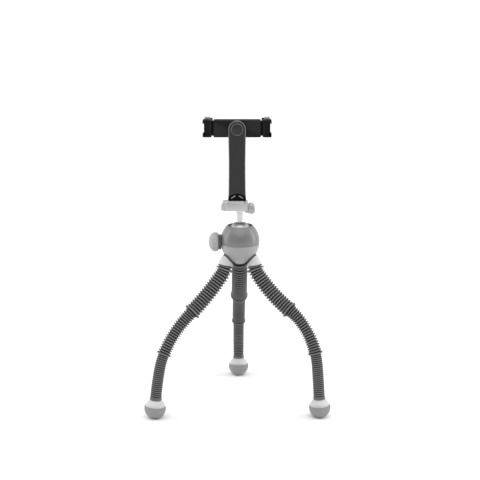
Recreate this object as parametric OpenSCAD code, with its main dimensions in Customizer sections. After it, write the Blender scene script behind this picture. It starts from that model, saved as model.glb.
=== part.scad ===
// Flexible three-legged phone tripod with a ball head, a quick-release clamp and a phone mount.
// Z is up, the floor is z = 0 and the ball housing stands over the origin.
// The front, where the upright arm shows, faces -Y. All lengths are millimetres.

/* [Ball housing] */
// Wall of the housing beside the ball's cavity, at the widest circle
housing_wall = 7.4; // [6.8:0.1:9]
// Half of the housing's full egg height
housing_rise = 28.2; // [27.6:0.1:30]
// How far the seam lies below the widest circle
seam_drop = 3.2; // [2.6:0.1:4.4]
// How far the dome's rim lies above the widest circle
rim_rise = 21.3; // [20.6:0.1:22.2]

/* [Ball] */
// Diameter of the polished ball
ball_d = 29; // [28:0.1:30]
// How far the ball's centre lies above the widest circle
ball_rise = 12.2; // [11.6:0.1:12.8]
// Diameter of the stem
stem_d = 8.8; // [7:0.1:9.4]
// Diameter of the flange at the stem's top
flange_d = 10.2; // [9.6:0.1:12]
// Height of the flange
flange_h = 4.7; // [3.6:0.1:5.6]
// Wall of the friction cup and of the friction ring
cup_wall = 3.4; // [2.4:0.1:3.8]
// Diameter of the dome's opening round the ball
opening_d = 22.8; // [22:0.1:24]

/* [Lock knob] */
// Height of the knob's axis below the widest circle
knob_drop = 1.3; // [0.8:0.1:2]
// Diameter of the knob
knob_d = 25.5; // [22:0.1:28]
// Length of the knob's light cap
knob_len = 13.4; // [10:0.1:15]
// Diameter of the dark grip ring
grip_d = 20.2; // [17:0.1:22]
// Diameter of the knob's screw
screw_d = 6; // [5:0.1:6.4]
// How far the pressure pin backs off
pin_travel = 0.6; // [0.4:0.1:0.9]

/* [Leg hub] */
// Distance of each socket mouth from the tripod's axis
socket_reach = 21.5; // [20.6:0.1:23]
// Height of the socket mouths below the widest circle
socket_drop = 30; // [29.6:0.1:31.4]
// Diameter of a socket mouth
socket_d = 19.6; // [18:0.1:20.4]
// Length of a socket lobe
socket_len = 17; // [15:0.5:19]
// Outward slope of a socket, in degrees from straight down
socket_slope = 12; // [8:1:16]
// Diameter of the hub's middle boss
boss_d = 14; // [12.4:0.1:15]

/* [Legs] */
// Length of each stretch that bends
bend_len = 16; // [14:0.5:18]
// Length of the stiff upper stretch
upper_len = 62.5; // [54:0.5:70]
// Length of the stiff middle stretch
middle_len = 51; // [44:0.5:58]
// Length of the stiff lower stretch
lower_len = 42; // [36:0.5:48]
// Diameter over the first narrow ribs
root_rib_d = 19.8; // [18.8:0.1:20.4]
// Diameter over the upper ribs
upper_rib_d = 21.2; // [19.6:0.1:22]
// Diameter over the middle ribs
middle_rib_d = 17.6; // [16:0.1:18.4]
// Diameter over the lower ribs
lower_rib_d = 15; // [14:0.1:15.8]
// Diameter of the wide rib below the socket
root_collar_d = 23; // [21:0.1:23.4]
// Diameter of the collar at the knee
knee_collar_d = 23.6; // [21.6:0.1:24.4]
// Diameter of the collar at the ankle
ankle_collar_d = 19.4; // [18:0.1:20.4]
// Distance from rib to rib on the bending stretch at the root
root_pitch = 3.1; // [2.9:0.1:3.4]
// Distance from rib to rib on the upper stretch
upper_pitch = 3.9; // [3.5:0.1:4.6]
// Distance from rib to rib on the middle stretch
middle_pitch = 3.4; // [3.1:0.1:4.2]
// Distance from rib to rib on the lower stretch
lower_pitch = 2.7; // [2.5:0.1:3.4]
// Left leg's bends in degrees, from the root to the lower stretch; they set the head's height
left_angles = [26.5, 11.6, -4.7, -21.4, -11.1, -7.5]; // [-60:0.1:60]
// Right leg's bends in degrees after the root, which bends as far as the floor asks
right_angles = [18.7, -13.4, -29.3, -9.4, -1.3]; // [-60:0.1:60]
// Rear leg's bends in degrees after the root
rear_angles = [22, -4, -18, -10, -26]; // [-60:0.1:60]

/* [Leg links] */
// Diameter of the steel rod inside a leg
rod_d = 2.8; // [2.4:0.1:3]
// Diameter of the ball on each link
link_ball_d = 5.8; // [5.4:0.1:6.2]
// Wall of the cup on each link
link_cup_wall = 1.15; // [1:0.05:1.3]

/* [Feet] */
// Diameter of the round rubber pad
pad_d = 28.2; // [26:0.1:30]
// Height of the light cap above the pad's seam
cap_h = 11; // [9.6:0.1:12.4]
// Diameter of the cap at the seam
cap_d = 26.8; // [24:0.1:27.2]
// How far the pad's centre lies below the seam
pad_sink = 2.9; // [2.4:0.1:3.6]
// Depth of the flat under the pad
pad_flat = 0.5; // [0.3:0.1:0.8]

/* [Quick-release clamp] */
// Height of the clamp's underside above the ball's centre
clamp_rise = 30.2; // [29.8:0.1:34]
// Depth of the clamp from front to back
clamp_depth = 24; // [22:0.5:27]
// Height of the clamp's floor
floor_h = 5.6; // [5.2:0.1:6.4]
// Height of the plate that the clamp holds
plate_h = 5.2; // [4.6:0.1:6]
// Width of the plate's underside
plate_w = 25.6; // [24.6:0.1:26.6]
// How far the plate's middle lies left of the stem
plate_shift = 5.2; // [4.8:0.1:5.8]
// How far each side of the plate slopes in towards its top
dovetail = 2.6; // [2:0.1:3]
// Width of the fixed jaw at its foot
fixed_jaw_w = 3.4; // [3:0.1:5]
// Thickness of the moving jaw at its foot
moving_jaw_w = 2.8; // [2.5:0.1:3.4]
// Distance from the moving jaw to the middle of the lever's pin
pin_reach = 4.9; // [4.8:0.1:5.2]
// Radius of the lever's cam
cam_r = 3.8; // [3.6:0.1:4]
// How far the cam is off its pin, which is also the jaw's travel
cam_throw = 0.8; // [0.6:0.05:0.9]
// Diameter of the lever's pin
lever_pin_d = 3; // [2.4:0.1:3.2]
// Width of the lever
lever_w = 22; // [19:0.5:22]
// Width of the ear that carries the lever
ear_w = 8; // [7:0.5:10]
// Thickness of the wall in front of the plate
front_t = 1.8; // [1.4:0.1:2.4]

/* [Upright arm] */
// How far the arm's middle lies left of the stem
arm_shift = 3.8; // [3:0.1:4.6]
// Width of the arm over most of its length
arm_w = 22.8; // [20:0.1:24]
// Width of the arm's foot
foot_w = 24; // [22.6:0.1:26]
// Thickness of the arm
arm_t = 6; // [5.6:0.1:7]
// Height of the pivot above the arm's foot
arm_h = 94.3; // [80:0.1:110]
// Front-to-back length of the arm's foot
foot_len = 14; // [12.6:0.5:16]
// Height of the arm's foot
foot_h = 7; // [6:0.1:9]
// Diameter of the screw that holds the plate to the foot
tripod_screw_d = 6.35; // [6:0.01:6.6]
// Diameter of the pivot's cap
pivot_cap_d = 16.2; // [13:0.1:18]
// Diameter of the pivot's screw
pivot_screw_d = 5; // [4.4:0.1:5.4]

/* [Phone clamp] */
// Width that the clamp is open to
phone_w = 71.4; // [69.4:0.1:76]
// Room for the phone's thickness
phone_t = 9; // [8:0.1:12]
// Length of the clamp's bar
bar_len = 61.8; // [56:0.1:63]
// Height of the clamp's bar
bar_h = 22.6; // [22.4:0.1:26]
// Depth of the bar, with its rear cover
bar_depth = 14; // [13.4:0.1:16]
// Thickness of the rear cover
cover_t = 3.5; // [2.5:0.1:4]
// Width of each jaw's block
block_w = 11.6; // [10.6:0.1:13]
// Thickness of the rubber pad on each jaw
rubber_t = 2.4; // [1.8:0.1:2.6]
// How far each jaw closes from where it stands
jaw_in = 2.5; // [1.5:0.1:2.8]
// How far each jaw opens from where it stands
jaw_out = 9.8; // [8:0.1:10]
// Width of a cold shoe's slot
shoe_w = 18.8; // [18.6:0.1:19]
// Depth of a cold shoe's slot
shoe_t = 2.2; // [2:0.1:2.4]
// Opening between a cold shoe's lips
shoe_mouth = 12.6; // [12:0.1:13.2]
// Module of the rack and pinion
gear_module = 1; // [0.96:0.01:1.04]

/* [Hidden] */
$fn = 64;

// Gap between faces that slide, between soft and moving faces, and round a running fit
gap = 0.3;
slip = 0.2;
fit = 0.05;
// Overrun of every cut
over = 1;

// Legs: the stretches from the socket's mouth to the foot's cap
stretches = [bend_len, upper_len, bend_len, middle_len, bend_len, lower_len];
root_s = bend_len / 2;
knee_s = bend_len + upper_len + bend_len / 2;
ankle_s = knee_s + bend_len + middle_len;
end_s = ankle_s + bend_len / 2 + lower_len;
groove_share = 0.2;
soft_bore = link_ball_d / 2 + fit + link_cup_wall + 2.4 * gap;
tight_bore = rod_d / 2 + gap;
SIDES = 8;
ROD_RINGS = 9;
SOFT_RINGS = 4;
STIFF_RINGS = 9;
LEFT = 207.4;
RIGHT = 332.6;
REAR = 91;
SOLVE_STEPS = 30;
SOLVE_FROM = -20;
SOLVE_TO = 70;

// Feet
pad_r = pad_d / 2;
spigot_d = 12;
spigot_h = 5;
socket_in = 6;
CAP_STEPS = 8;
pad_drop = cap_h + pad_sink;

// The head stands as high as the left leg's bends put it
left_end = pose_at(left_angles, end_s, 0, [socket_reach, 0, socket_slope]);
mouth = [socket_reach, pad_r - pad_flat + pad_drop * cos(left_end[2]) - left_end[1]];
head_z = mouth[1] + socket_drop;

// Housing
seam_z = head_z - seam_drop;
rim_z = head_z + rim_rise;
ball_z = head_z + ball_rise;
ball_r = ball_d / 2;
cavity_r = ball_r + cup_wall + 2 * fit + gap;
housing_r = cavity_r + housing_wall;
rim_dish = 1;
rim_edge = 1;
lip_h = 3.1;
EGG_STEPS = 18;

// Knob, along -X from the housing
knob_z = head_z - knob_drop;
grip_x = housing_r + 0.6 * gap;
grip_face_r = 4;
grip_slope = 1;
grip_len = 2.3;
knob_edge_share = 0.62;
screw_in = 10;
pin_cover = 9;
pin_tip = ball_r + cup_wall + fit + gap;
pin_start = pin_tip / 2;
pin_back = housing_r - pin_cover;

// Hub and sockets
LOBE_STEPS = 10;
LOBE_POWER = 1.5;
spoke_w = 9;
spoke_h = 5;
stud_d = 8;
stud_in = 1;
boss_drop = 1.5;

// Quick-release clamp, in X from the stem
clamp_z = ball_z + clamp_rise;
floor_z = clamp_z + floor_h;
plate_z = floor_z + slip;
plate_top = plate_z + plate_h;
wall_z = plate_top - 1.5;
plate_y0 = front_t + slip - clamp_depth / 2;
jaw_top = plate_top - 2 * slip;
plate_x0 = -plate_shift - plate_w / 2;
plate_x1 = plate_x0 + plate_w;
base_x0 = plate_x0 - slip - fixed_jaw_w;
moving_x1 = plate_x1 + slip + moving_jaw_w;
base_x1 = moving_x1 + cam_throw;
nose_w = 3.6;
nose_gap = 0.5;
pin_x = moving_x1 + pin_reach;
pin_rise = 5;
pin_z = clamp_z + pin_rise;
corner_r = 3;
ear_r = 3.4;
pin_cheek = 2;
lug_w = 3;
lug_h = 3.6;
lug_y = clamp_depth / 4;
lug_t = 1.6;
spring_d = 2.4;
spring_len = 5.4;
tail_t = 3.6;
tail_end = flange_d / 2 + 2 * fit + over;
stem_stud_d = 6.4;

// Arm
foot_z = plate_top;
pivot_z = foot_z + arm_h;
arm_y0 = 1;
arm_y1 = arm_y0 + arm_t;
arm_r = arm_w / 2;
plate_screw_y = 5.6;
plate_screw_head_d = 11;
plate_screw_head_h = 2.4;
plate_screw_in = 6;
cap_recess = 1.6;
cap_proud = 0.4;
screw_head_d = 10;
screw_head_h = 2.4;
friction_boss_d = 13;
arch_r = 12;
arch_w = 1.5;
arch_proud = 0.7;
arch_sink = 4.2;
arch_from = 40;
arch_sweep = 41;

// Phone clamp, from the pivot
bar_gap = 1.5;
bar_y0 = arm_y1 + bar_gap;
bar_y1 = bar_y0 + bar_depth - cover_t;
back_y = bar_y0 + bar_depth;
track_t = 5.4;
track_y0 = bar_y1 - track_t - 0.5 * gap;
track_h = 19.6;
block_inset = 2.2;
block_x0 = phone_w / 2 - block_inset;
block_x1 = block_x0 + block_w;
phone_x = phone_w / 2;
claw_t = 5.2;
claw_x1 = phone_x + rubber_t + claw_t;
claw_y1 = back_y + gap + phone_t + rubber_t;
lip_reach = 3.4;
lump = 2;
shoe_lip = 1.4;
shoe_stop = 2;
tongue_len = 11;
rack_end = 15;
PINION_TEETH = 10;
RACK_TEETH = 9;
PRESSURE = 25;
backlash = 0.25;
pitch_r = PINION_TEETH * gear_module / 2;
addendum = 0.75 * gear_module;
dedendum = 0.95 * gear_module;
TOOTH_STEPS = 4;

// A rounded upright block, by its corners in X and Y
module rounded_block(x0, x1, y0, y1, z0, z1, r) {
    translate([0, 0, z0]) linear_extrude(z1 - z0) {
        translate([x0 + r, y0]) square([x1 - x0 - 2 * r, y1 - y0]);
        translate([x0, y0 + r]) square([x1 - x0, y1 - y0 - 2 * r]);
        for (x = [x0 + r, x1 - r], y = [y0 + r, y1 - r]) translate([x, y]) circle(r);
    }
}

// A plain block, by its lowest and highest corners
module block(low, high) {
    translate(low) cube(high - low);
}

// A rod or bore along Y, from y0 to y1
module along_y(x, z, y0, y1, r) {
    translate([x, y0, z]) rotate([-90, 0, 0]) cylinder(r = r, h = y1 - y0);
}

// A shape drawn in X and Z, made solid from y0 to y1
module slab_y(y0, y1) {
    translate([0, y1, 0]) rotate([90, 0, 0]) linear_extrude(y1 - y0) children();
}

// The housing's egg, grown by a margin
function egg_r(z, grow = 0) =
    (housing_r + grow) * sqrt(max(0, 1 - pow(z / (housing_rise + grow), 2)));

module egg(z0, z1, grow = 0) {
    translate([0, 0, head_z]) rotate_extrude() polygon(concat(
        [[0, z0 - head_z]],
        [for (i = [0 : EGG_STEPS])
            let (z = (z0 + (z1 - z0) * (1 - cos(180 * i / EGG_STEPS)) / 2) - head_z)
            [egg_r(z, grow), z]],
        [[0, z1 - head_z]]));
}

module knob_bore(r) {
    translate([-2 * housing_r, 0, knob_z]) rotate([0, 90, 0]) cylinder(r = r, h = 2 * housing_r - pin_start);
}

module dome() {
    color("dimgray") difference() {
        egg(seam_z, rim_z);
        translate([0, 0, ball_z]) difference() {
            sphere(r = cavity_r);
            block([-cavity_r, -cavity_r, rim_z - ball_z - lip_h], [cavity_r, cavity_r, cavity_r]);
        }
        translate([0, 0, ball_z]) sphere(r = ball_r + gap);
        translate([0, 0, ball_z]) cylinder(d = opening_d, h = rim_z - ball_z + over);
        translate([0, 0, rim_z - rim_dish])
            cylinder(d1 = opening_d, d2 = 2 * egg_r(rim_rise) - 2 * rim_edge, h = rim_dish + fit);
        knob_bore(screw_d / 2 + fit);
    }
}

module bowl() {
    color("silver") {
        difference() {
            egg(head_z - housing_rise, seam_z);
            translate([0, 0, ball_z]) sphere(r = cavity_r);
            knob_bore(screw_d / 2 + fit);
        }
        translate([0, 0, head_z - housing_rise - boss_drop + slip])
            cylinder(d = stud_d, h = boss_drop + stud_in);
    }
}

// A ring or cup between the ball and the cavity's wall, between two heights from the ball
module ball_liner(z0, z1) {
    outer = ball_r + cup_wall + fit;
    translate([0, 0, ball_z]) difference() {
        intersection() {
            sphere(r = outer);
            block([-outer, -outer, z0], [outer, outer, z1]);
        }
        sphere(r = ball_r + fit);
    }
}

module friction_ring() {
    color("black") ball_liner(ball_r * 0.07, rim_z - lip_h - ball_z - 0.5 * gap);
}

module ball_seat() {
    color("white") ball_liner(-cavity_r, -ball_r * 0.37);
}

module ball_stem() {
    color("gainsboro") {
        translate([0, 0, ball_z]) sphere(r = ball_r, $fn = 96);
        translate([0, 0, ball_z]) cylinder(d = stem_d, h = clamp_rise - flange_h + fit);
        translate([0, 0, clamp_z - flange_h]) cylinder(d = flange_d, h = flange_h);
        translate([0, 0, clamp_z - fit]) cylinder(d = stem_stud_d, h = floor_h - over + fit);
    }
}

// The knob's parts are drawn along +Z, out of the housing, then turned to -X
module knob_frame() {
    translate([0, 0, knob_z]) rotate([0, -90, 0]) children();
}

module knob_grip() {
    color("black") knob_frame() difference() {
        union() {
            translate([0, 0, grip_x]) cylinder(d = grip_d, h = grip_len);
            translate([0, 0, grip_x - grip_slope])
                cylinder(d = grip_d, h = grip_slope + fit);
        }
        translate([0, 0, grip_x - grip_slope - fit])
            cylinder(r1 = grip_d / 2 - fit, r2 = grip_face_r, h = grip_slope + 2 * fit);
        cylinder(d = screw_d, h = 4 * housing_r);
    }
}

module lock_knob() {
    start = grip_x + grip_len;
    edge = knob_edge_share * knob_len;
    color("silver") knob_frame() difference() {
        translate([0, 0, start]) rotate_extrude() polygon(concat(
            [[0, 0], [knob_d / 2 - 2 * gap, 0], [knob_d / 2, 2 * gap]],
            [for (i = [0 : LOBE_STEPS]) let (a = 90 * i / LOBE_STEPS)
                [knob_d / 2 * cos(a), knob_len - edge + edge * sin(a)]]));
        cylinder(d = screw_d, h = start + screw_in);
    }
}

module knob_screw() {
    color("gray") knob_frame()
        translate([0, 0, pin_back + pin_travel + slip])
            cylinder(d = screw_d - fit, h = grip_x + grip_len + screw_in - pin_back - pin_travel - slip);
}

module pressure_pin() {
    color("gold") knob_frame() difference() {
        translate([0, 0, pin_start]) cylinder(d = screw_d - fit, h = pin_back - pin_start);
        translate([ball_z - knob_z, 0, 0]) sphere(r = pin_tip);
    }
}

module lobe() {
    translate([mouth[0], 0, mouth[1]]) rotate([0, -socket_slope, 0]) rotate_extrude() polygon(concat(
        [[0, 0]],
        [for (i = [0 : LOBE_STEPS]) let (t = 1 - cos(90 * i / LOBE_STEPS))
            [socket_d / 2 * pow(1 - pow(t, LOBE_POWER), 1 / LOBE_POWER), socket_len * t]]));
}

module leg_hub() {
    foot = head_z - housing_rise - boss_drop;
    color("lightgray") difference() {
        union() {
            translate([0, 0, foot]) cylinder(d = boss_d, h = spoke_h);
            for (leg = [LEFT, RIGHT, REAR]) rotate([0, 0, leg]) {
                lobe();
                block([0, -spoke_w / 2, foot], [mouth[0], spoke_w / 2, foot + spoke_h]);
            }
        }
        egg(head_z - housing_rise - gap, head_z, gap);
        translate([0, 0, foot - over]) cylinder(d = stud_d + 2 * fit, h = spoke_h + 2 * over);
        for (leg = [LEFT, RIGHT, REAR]) rotate([0, 0, leg])
            translate([mouth[0], 0, mouth[1]]) rotate([0, -socket_slope, 0])
                translate([0, 0, -2 * over - socket_d]) cylinder(d = 2 * socket_d, h = 2 * over + socket_d);
    }
    color("lightgray") for (leg = [LEFT, RIGHT, REAR]) rotate([0, 0, leg]) root_cup(leg);
}

// The cup on a short stub, in which a leg's first link turns
module root_cup(leg) {
    bends = bends_of(leg);
    p = pose_at(bends, root_s);
    run = norm([p[0] - mouth[0], p[1] - mouth[1]]);
    slope = atan2(p[0] - mouth[0], mouth[1] - p[1]);
    difference() {
        union() {
            translate([mouth[0], 0, mouth[1]]) rotate([0, 180 - slope, 0])
                translate([0, 0, -over]) cylinder(d = link_ball_d, h = run + over);
            at_pose(p) sphere(d = link_ball_d + 2 * (fit + link_cup_wall));
        }
        at_pose(p) cup_hollow();
    }
}

// Angles, radius and height along a leg's middle line

function rest_of(leg) = leg == RIGHT ? right_angles : rear_angles;

// One step along an arc: [radius, height, slope] after a length and a turn
function arc_step(p, len, turn) =
    let (half = turn / 2, rad = half * PI / 180)
    let (chord = abs(rad) < 1e-9 ? len : len * sin(half) / rad)
    [p[0] + chord * sin(p[2] + half), p[1] - chord * cos(p[2] + half), p[2] + turn];

// [radius, height, slope] at a distance s from the socket's mouth
function pose_at(bends, s, i = 0, p = [mouth[0], mouth[1], socket_slope]) =
    i == len(stretches) - 1 || s <= stretches[i]
        ? arc_step(p, s, bends[i] * s / stretches[i])
        : pose_at(bends, s - stretches[i], i + 1, arc_step(p, stretches[i], bends[i]));

// Height of the pad's centre for a bend at the root
function pad_height(root, rest) =
    let (e = pose_at(concat([root], rest), end_s))
    e[1] - pad_drop * cos(e[2]);

// The root's bend that stands the foot on the floor, found by halving
function root_bend(rest, low = SOLVE_FROM, high = SOLVE_TO, n = SOLVE_STEPS) =
    let (mid = (low + high) / 2)
    n == 0 ? mid
        : pad_height(mid, rest) < pad_r - pad_flat
            ? root_bend(rest, mid, high, n - 1)
            : root_bend(rest, low, mid, n - 1);

function bends_of(leg) = leg == LEFT ? left_angles : concat([root_bend(rest_of(leg))], rest_of(leg));

// A frame whose +Z runs down the leg
module at_pose(p) {
    translate([p[0], 0, p[1]]) rotate([0, 180 - p[2], 0]) children();
}

// Points of one ring round the leg's middle line
function ring(bends, s, r) =
    let (p = pose_at(bends, s))
    [for (j = [0 : SIDES - 1]) let (a = 360 * (j + 0.5) / SIDES)
        [p[0] + r * cos(a) * cos(p[2]), r * sin(a), p[1] + r * cos(a) * sin(p[2])]];

// Skin between rings a and b of a list of points that starts at k, facing out or in
function skin(k, a, b, out) = [for (i = [a : b - 1], j = [0 : SIDES - 1])
    let (m = (j + 1) % SIDES, p = k + i * SIDES, q = p + SIDES)
    each out ? [[p + j, p + m, q + m], [p + j, q + m, q + j]]
             : [[p + j, q + m, p + m], [p + j, q + j, q + m]]];

// Flat end between an outer ring at p and an inner ring at q
function end_face(p, q, start) = [for (j = [0 : SIDES - 1]) let (m = (j + 1) % SIDES)
    each start ? [[p + j, q + j, q + m], [p + j, q + m, p + m]]
               : [[p + j, q + m, q + j], [p + j, p + m, q + m]]];

// A hose: outer rings as [distance, radius] and a bore between the same ends
module hose(bends, rings, bore_r) {
    n = len(rings);
    m = bore_r == soft_bore ? SOFT_RINGS : STIFF_RINGS;
    s0 = rings[0][0];
    s1 = rings[n - 1][0];
    inner = [for (i = [0 : m]) s0 + (s1 - s0) * i / m];
    points = concat(
        [for (r = rings) each ring(bends, r[0], r[1])],
        [for (s = inner) each ring(bends, s, bore_r)]);
    k = n * SIDES;
    polyhedron(points, concat(
        skin(0, 0, n - 1, true),
        skin(k, 0, m, false),
        end_face(0, k, true),
        end_face(k - SIDES, k + m * SIDES, false)));
}

// A solid rod between two distances along the leg
module bent_rod(bends, s0, s1, r) {
    rings = [for (i = [0 : ROD_RINGS]) s0 + (s1 - s0) * i / ROD_RINGS];
    points = [for (s = rings) each ring(bends, s, r)];
    k = ROD_RINGS * SIDES;
    polyhedron(points, concat(
        skin(0, 0, ROD_RINGS, true),
        [for (j = [1 : SIDES - 2]) [0, j + 1, j]],
        [for (j = [1 : SIDES - 2]) [k, k + j, k + j + 1]]));
}

// Rings of a ribbed stretch: a groove, a crest and so on, with wider ribs in wide as [rib, radius]
function ribs(s0, s1, pitch, crest_a, crest_b, wide = []) =
    let (n = round((s1 - s0) / pitch))
    [for (i = [0 : 2 * n])
        let (share = i / (2 * n), crest = crest_a + (crest_b - crest_a) * share)
        let (found = [for (w = wide) if (2 * (w[0] < 0 ? n + w[0] : w[0]) + 1 == i) w[1]])
        [s0 + (s1 - s0) * share,
            i % 2 == 0 ? crest * (1 - groove_share) : len(found) > 0 ? found[0] : crest]];

module sleeve(leg, s0, s1, pitch, crest_a, crest_b, bore_r, wide = []) {
    color("dimgray") rotate([0, 0, leg])
        hose(bends_of(leg), ribs(s0, s1, pitch, crest_a, crest_b, wide), bore_r);
}

module root_sleeve(leg) {
    sleeve(leg, slip, bend_len - slip, root_pitch, root_rib_d / 2, upper_rib_d / 2, soft_bore,
        [[2, root_collar_d / 2]]);
}

module upper_sleeve(leg) {
    sleeve(leg, bend_len, bend_len + upper_len, upper_pitch, upper_rib_d / 2, upper_rib_d / 2, tight_bore,
        [[-1, knee_collar_d / 2]]);
}

module knee_sleeve(leg) {
    s = bend_len + upper_len;
    sleeve(leg, s + slip, s + bend_len - slip, middle_pitch, middle_rib_d / 2, middle_rib_d / 2, soft_bore);
}

module middle_sleeve(leg) {
    s = 2 * bend_len + upper_len;
    sleeve(leg, s, s + middle_len, middle_pitch, middle_rib_d / 2, middle_rib_d / 2, tight_bore,
        [[-1, ankle_collar_d / 2]]);
}

module ankle_sleeve(leg) {
    s = 2 * bend_len + upper_len + middle_len;
    sleeve(leg, s + slip, s + bend_len - slip, lower_pitch, lower_rib_d / 2, lower_rib_d / 2, soft_bore);
}

module lower_sleeve(leg) {
    sleeve(leg, end_s - lower_len, end_s, lower_pitch, lower_rib_d / 2, lower_rib_d / 2, tight_bore);
}

// What a link's cup leaves free for the next link's ball, with the ball at the origin
module cup_hollow() {
    cup_r = link_ball_d / 2 + fit + link_cup_wall;
    sphere(d = link_ball_d + 2 * fit);
    translate([0, 0, 0.18 * link_ball_d / 2]) cylinder(r = 2 * cup_r, h = 2 * cup_r);
}

module leg_link(leg, s0, s1, last) {
    bends = bends_of(leg);
    color("darkgray") rotate([0, 0, leg]) {
        at_pose(pose_at(bends, s0)) sphere(d = link_ball_d);
        if (last) {
            bent_rod(bends, s0, s1, rod_d / 2);
        } else {
            bent_rod(bends, s0, s1 - link_ball_d / 2 - 2 * fit, rod_d / 2);
            at_pose(pose_at(bends, s1)) difference() {
                sphere(d = link_ball_d + 2 * (fit + link_cup_wall));
                cup_hollow();
            }
        }
    }
}

module upper_link(leg) {
    leg_link(leg, root_s, knee_s, false);
}

module middle_link(leg) {
    leg_link(leg, knee_s, ankle_s, false);
}

module lower_link(leg) {
    leg_link(leg, ankle_s, end_s + socket_in, true);
}

module foot_cap(leg) {
    top = lower_rib_d / 2;
    color("gainsboro") rotate([0, 0, leg]) at_pose(pose_at(bends_of(leg), end_s)) translate([0, 0, slip])
        difference() {
            rotate_extrude() polygon(concat(
                [[0, 0]],
                [for (i = [0 : CAP_STEPS]) let (a = 90 * i / CAP_STEPS)
                    [top + (cap_d / 2 - top) * sin(a), cap_h * (1 - cos(a))]],
                [[spigot_d / 2, cap_h], [spigot_d / 2, cap_h + spigot_h], [0, cap_h + spigot_h]]));
            translate([0, 0, -over]) cylinder(d = rod_d + 2 * gap, h = socket_in + gap + over);
        }
}

module foot_pad(leg) {
    color("gray") difference() {
        rotate([0, 0, leg]) at_pose(pose_at(bends_of(leg), end_s)) difference() {
            translate([0, 0, pad_drop]) sphere(r = pad_r);
            translate([0, 0, pad_drop - 2 * pad_r]) cylinder(r = 2 * pad_r, h = 2 * pad_r - pad_sink + slip);
            translate([0, 0, cap_h]) cylinder(d = spigot_d + 2 * fit, h = spigot_h + 2 * slip);
        }
        translate([0, 0, -2 * pad_d]) cylinder(r = 10 * pad_d, h = 2 * pad_d);
    }
}

// The clamp's floor, fixed jaw and front wall, with an ear for the lever's pin
module qr_base() {
    d = clamp_depth / 2;
    color("silver") difference() {
        union() {
            rounded_block(base_x0, base_x1, -d, d, clamp_z, floor_z, corner_r);
            intersection() {
                rounded_block(base_x0, base_x1, -d, d, clamp_z, jaw_top, corner_r);
                slab_y(-d, d) polygon([
                    [base_x0, clamp_z], [plate_x0 - slip, clamp_z], [plate_x0 - slip, plate_z],
                    [plate_x0 - slip + dovetail, jaw_top], [base_x0, jaw_top]]);
            }
            intersection() {
                rounded_block(base_x0, base_x1, -d, d, clamp_z, wall_z, corner_r);
                block([base_x0, -d, clamp_z], [base_x1, front_t - d, wall_z]);
            }
            rounded_block(base_x0 - nose_w, base_x0 + corner_r, -d + nose_gap, d - nose_gap,
                clamp_z + nose_gap, jaw_top - nose_gap, nose_w - fit);
            along_y(pin_x, pin_z, -ear_w / 2, ear_w / 2, ear_r);
            block([base_x1 - corner_r, -ear_w / 2, pin_z - ear_r], [pin_x, ear_w / 2, floor_z]);
        }
        translate([0, 0, clamp_z - over]) cylinder(d = stem_stud_d, h = floor_h);
        block([moving_x1 - slip, -d - over, clamp_z - over], [pin_x, -ear_w / 2, wall_z + over]);
        block([moving_x1 - slip, ear_w / 2, clamp_z - over], [pin_x, d + over, wall_z + over]);
        along_y(pin_x, pin_z, -d, d, lever_pin_d / 2);
        for (y = [-lug_y, lug_y])
            block([plate_x1 - spring_len - gap, y - lug_w / 2 - slip, floor_z - lug_h - slip],
                [base_x1 + over, y + lug_w / 2 + slip, floor_z + over]);
    }
}

// The jaw that the lever's cam pushes against the plate
module qr_jaw() {
    d = clamp_depth / 2;
    color("silver") {
        intersection() {
            rounded_block(plate_x1 - 2 * dovetail, moving_x1, plate_y0, d, plate_z, jaw_top,
                moving_jaw_w / 2);
            slab_y(-d, d) polygon([
                [plate_x1 + slip, plate_z], [moving_x1, plate_z], [moving_x1, jaw_top],
                [plate_x1 + slip - dovetail, jaw_top]]);
        }
        for (y = [-lug_y, lug_y])
            block([plate_x1 + slip, y - lug_w / 2, floor_z - lug_h],
                [plate_x1 + slip + lug_t, y + lug_w / 2, plate_z + slip]);
    }
}

module jaw_springs() {
    color("gray") for (y = [-lug_y, lug_y])
        translate([plate_x1 + slip - spring_len, y, floor_z - lug_h / 2]) rotate([0, 90, 0])
            difference() {
                cylinder(d = spring_d, h = spring_len);
                translate([0, 0, -over]) cylinder(d = spring_d / 2, h = spring_len + 2 * over);
            }
}

// Two cheeks beside the ear, joined by a tail that runs on under the floor
module qr_lever() {
    low = clamp_z - gap;
    reach = lever_w / 2 - pin_cheek + slip;
    color("lightgray") difference() {
        union() {
            along_y(pin_x - cam_throw, pin_z, -lever_w / 2, lever_w / 2, cam_r);
            slab_y(-lever_w / 2, lever_w / 2) polygon([
                [pin_x - cam_throw, pin_z + cam_r], [pin_x + 0.6 * cam_r, pin_z + 0.8 * cam_r],
                [pin_x + cam_r, pin_z + 0.2 * cam_r], [pin_x + 1.05 * cam_r, pin_z - 0.5 * cam_r],
                [pin_x + 1.02 * cam_r, low - 0.15 * tail_t], [pin_x + 0.65 * cam_r, low - 0.75 * tail_t],
                [pin_x, low - tail_t], [pin_x - cam_r, low - 0.85 * tail_t],
                [tail_end, low - 0.4 * tail_t], [tail_end, low - 0.05 * tail_t],
                [moving_x1, low - 0.05 * tail_t], [pin_x - cam_r / 2, pin_z - cam_r / 2]]);
        }
        along_y(pin_x, pin_z, -reach, reach, lever_pin_d / 2 + fit);
        block([tail_end - over, -ear_w / 2 - gap, low],
            [pin_x + 2 * cam_r, ear_w / 2 + gap, pin_z + 2 * cam_r]);
    }
}

module lever_pin() {
    reach = lever_w / 2 - pin_cheek;
    color("darkgray") along_y(pin_x, pin_z, -reach, reach, lever_pin_d / 2);
}

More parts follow.
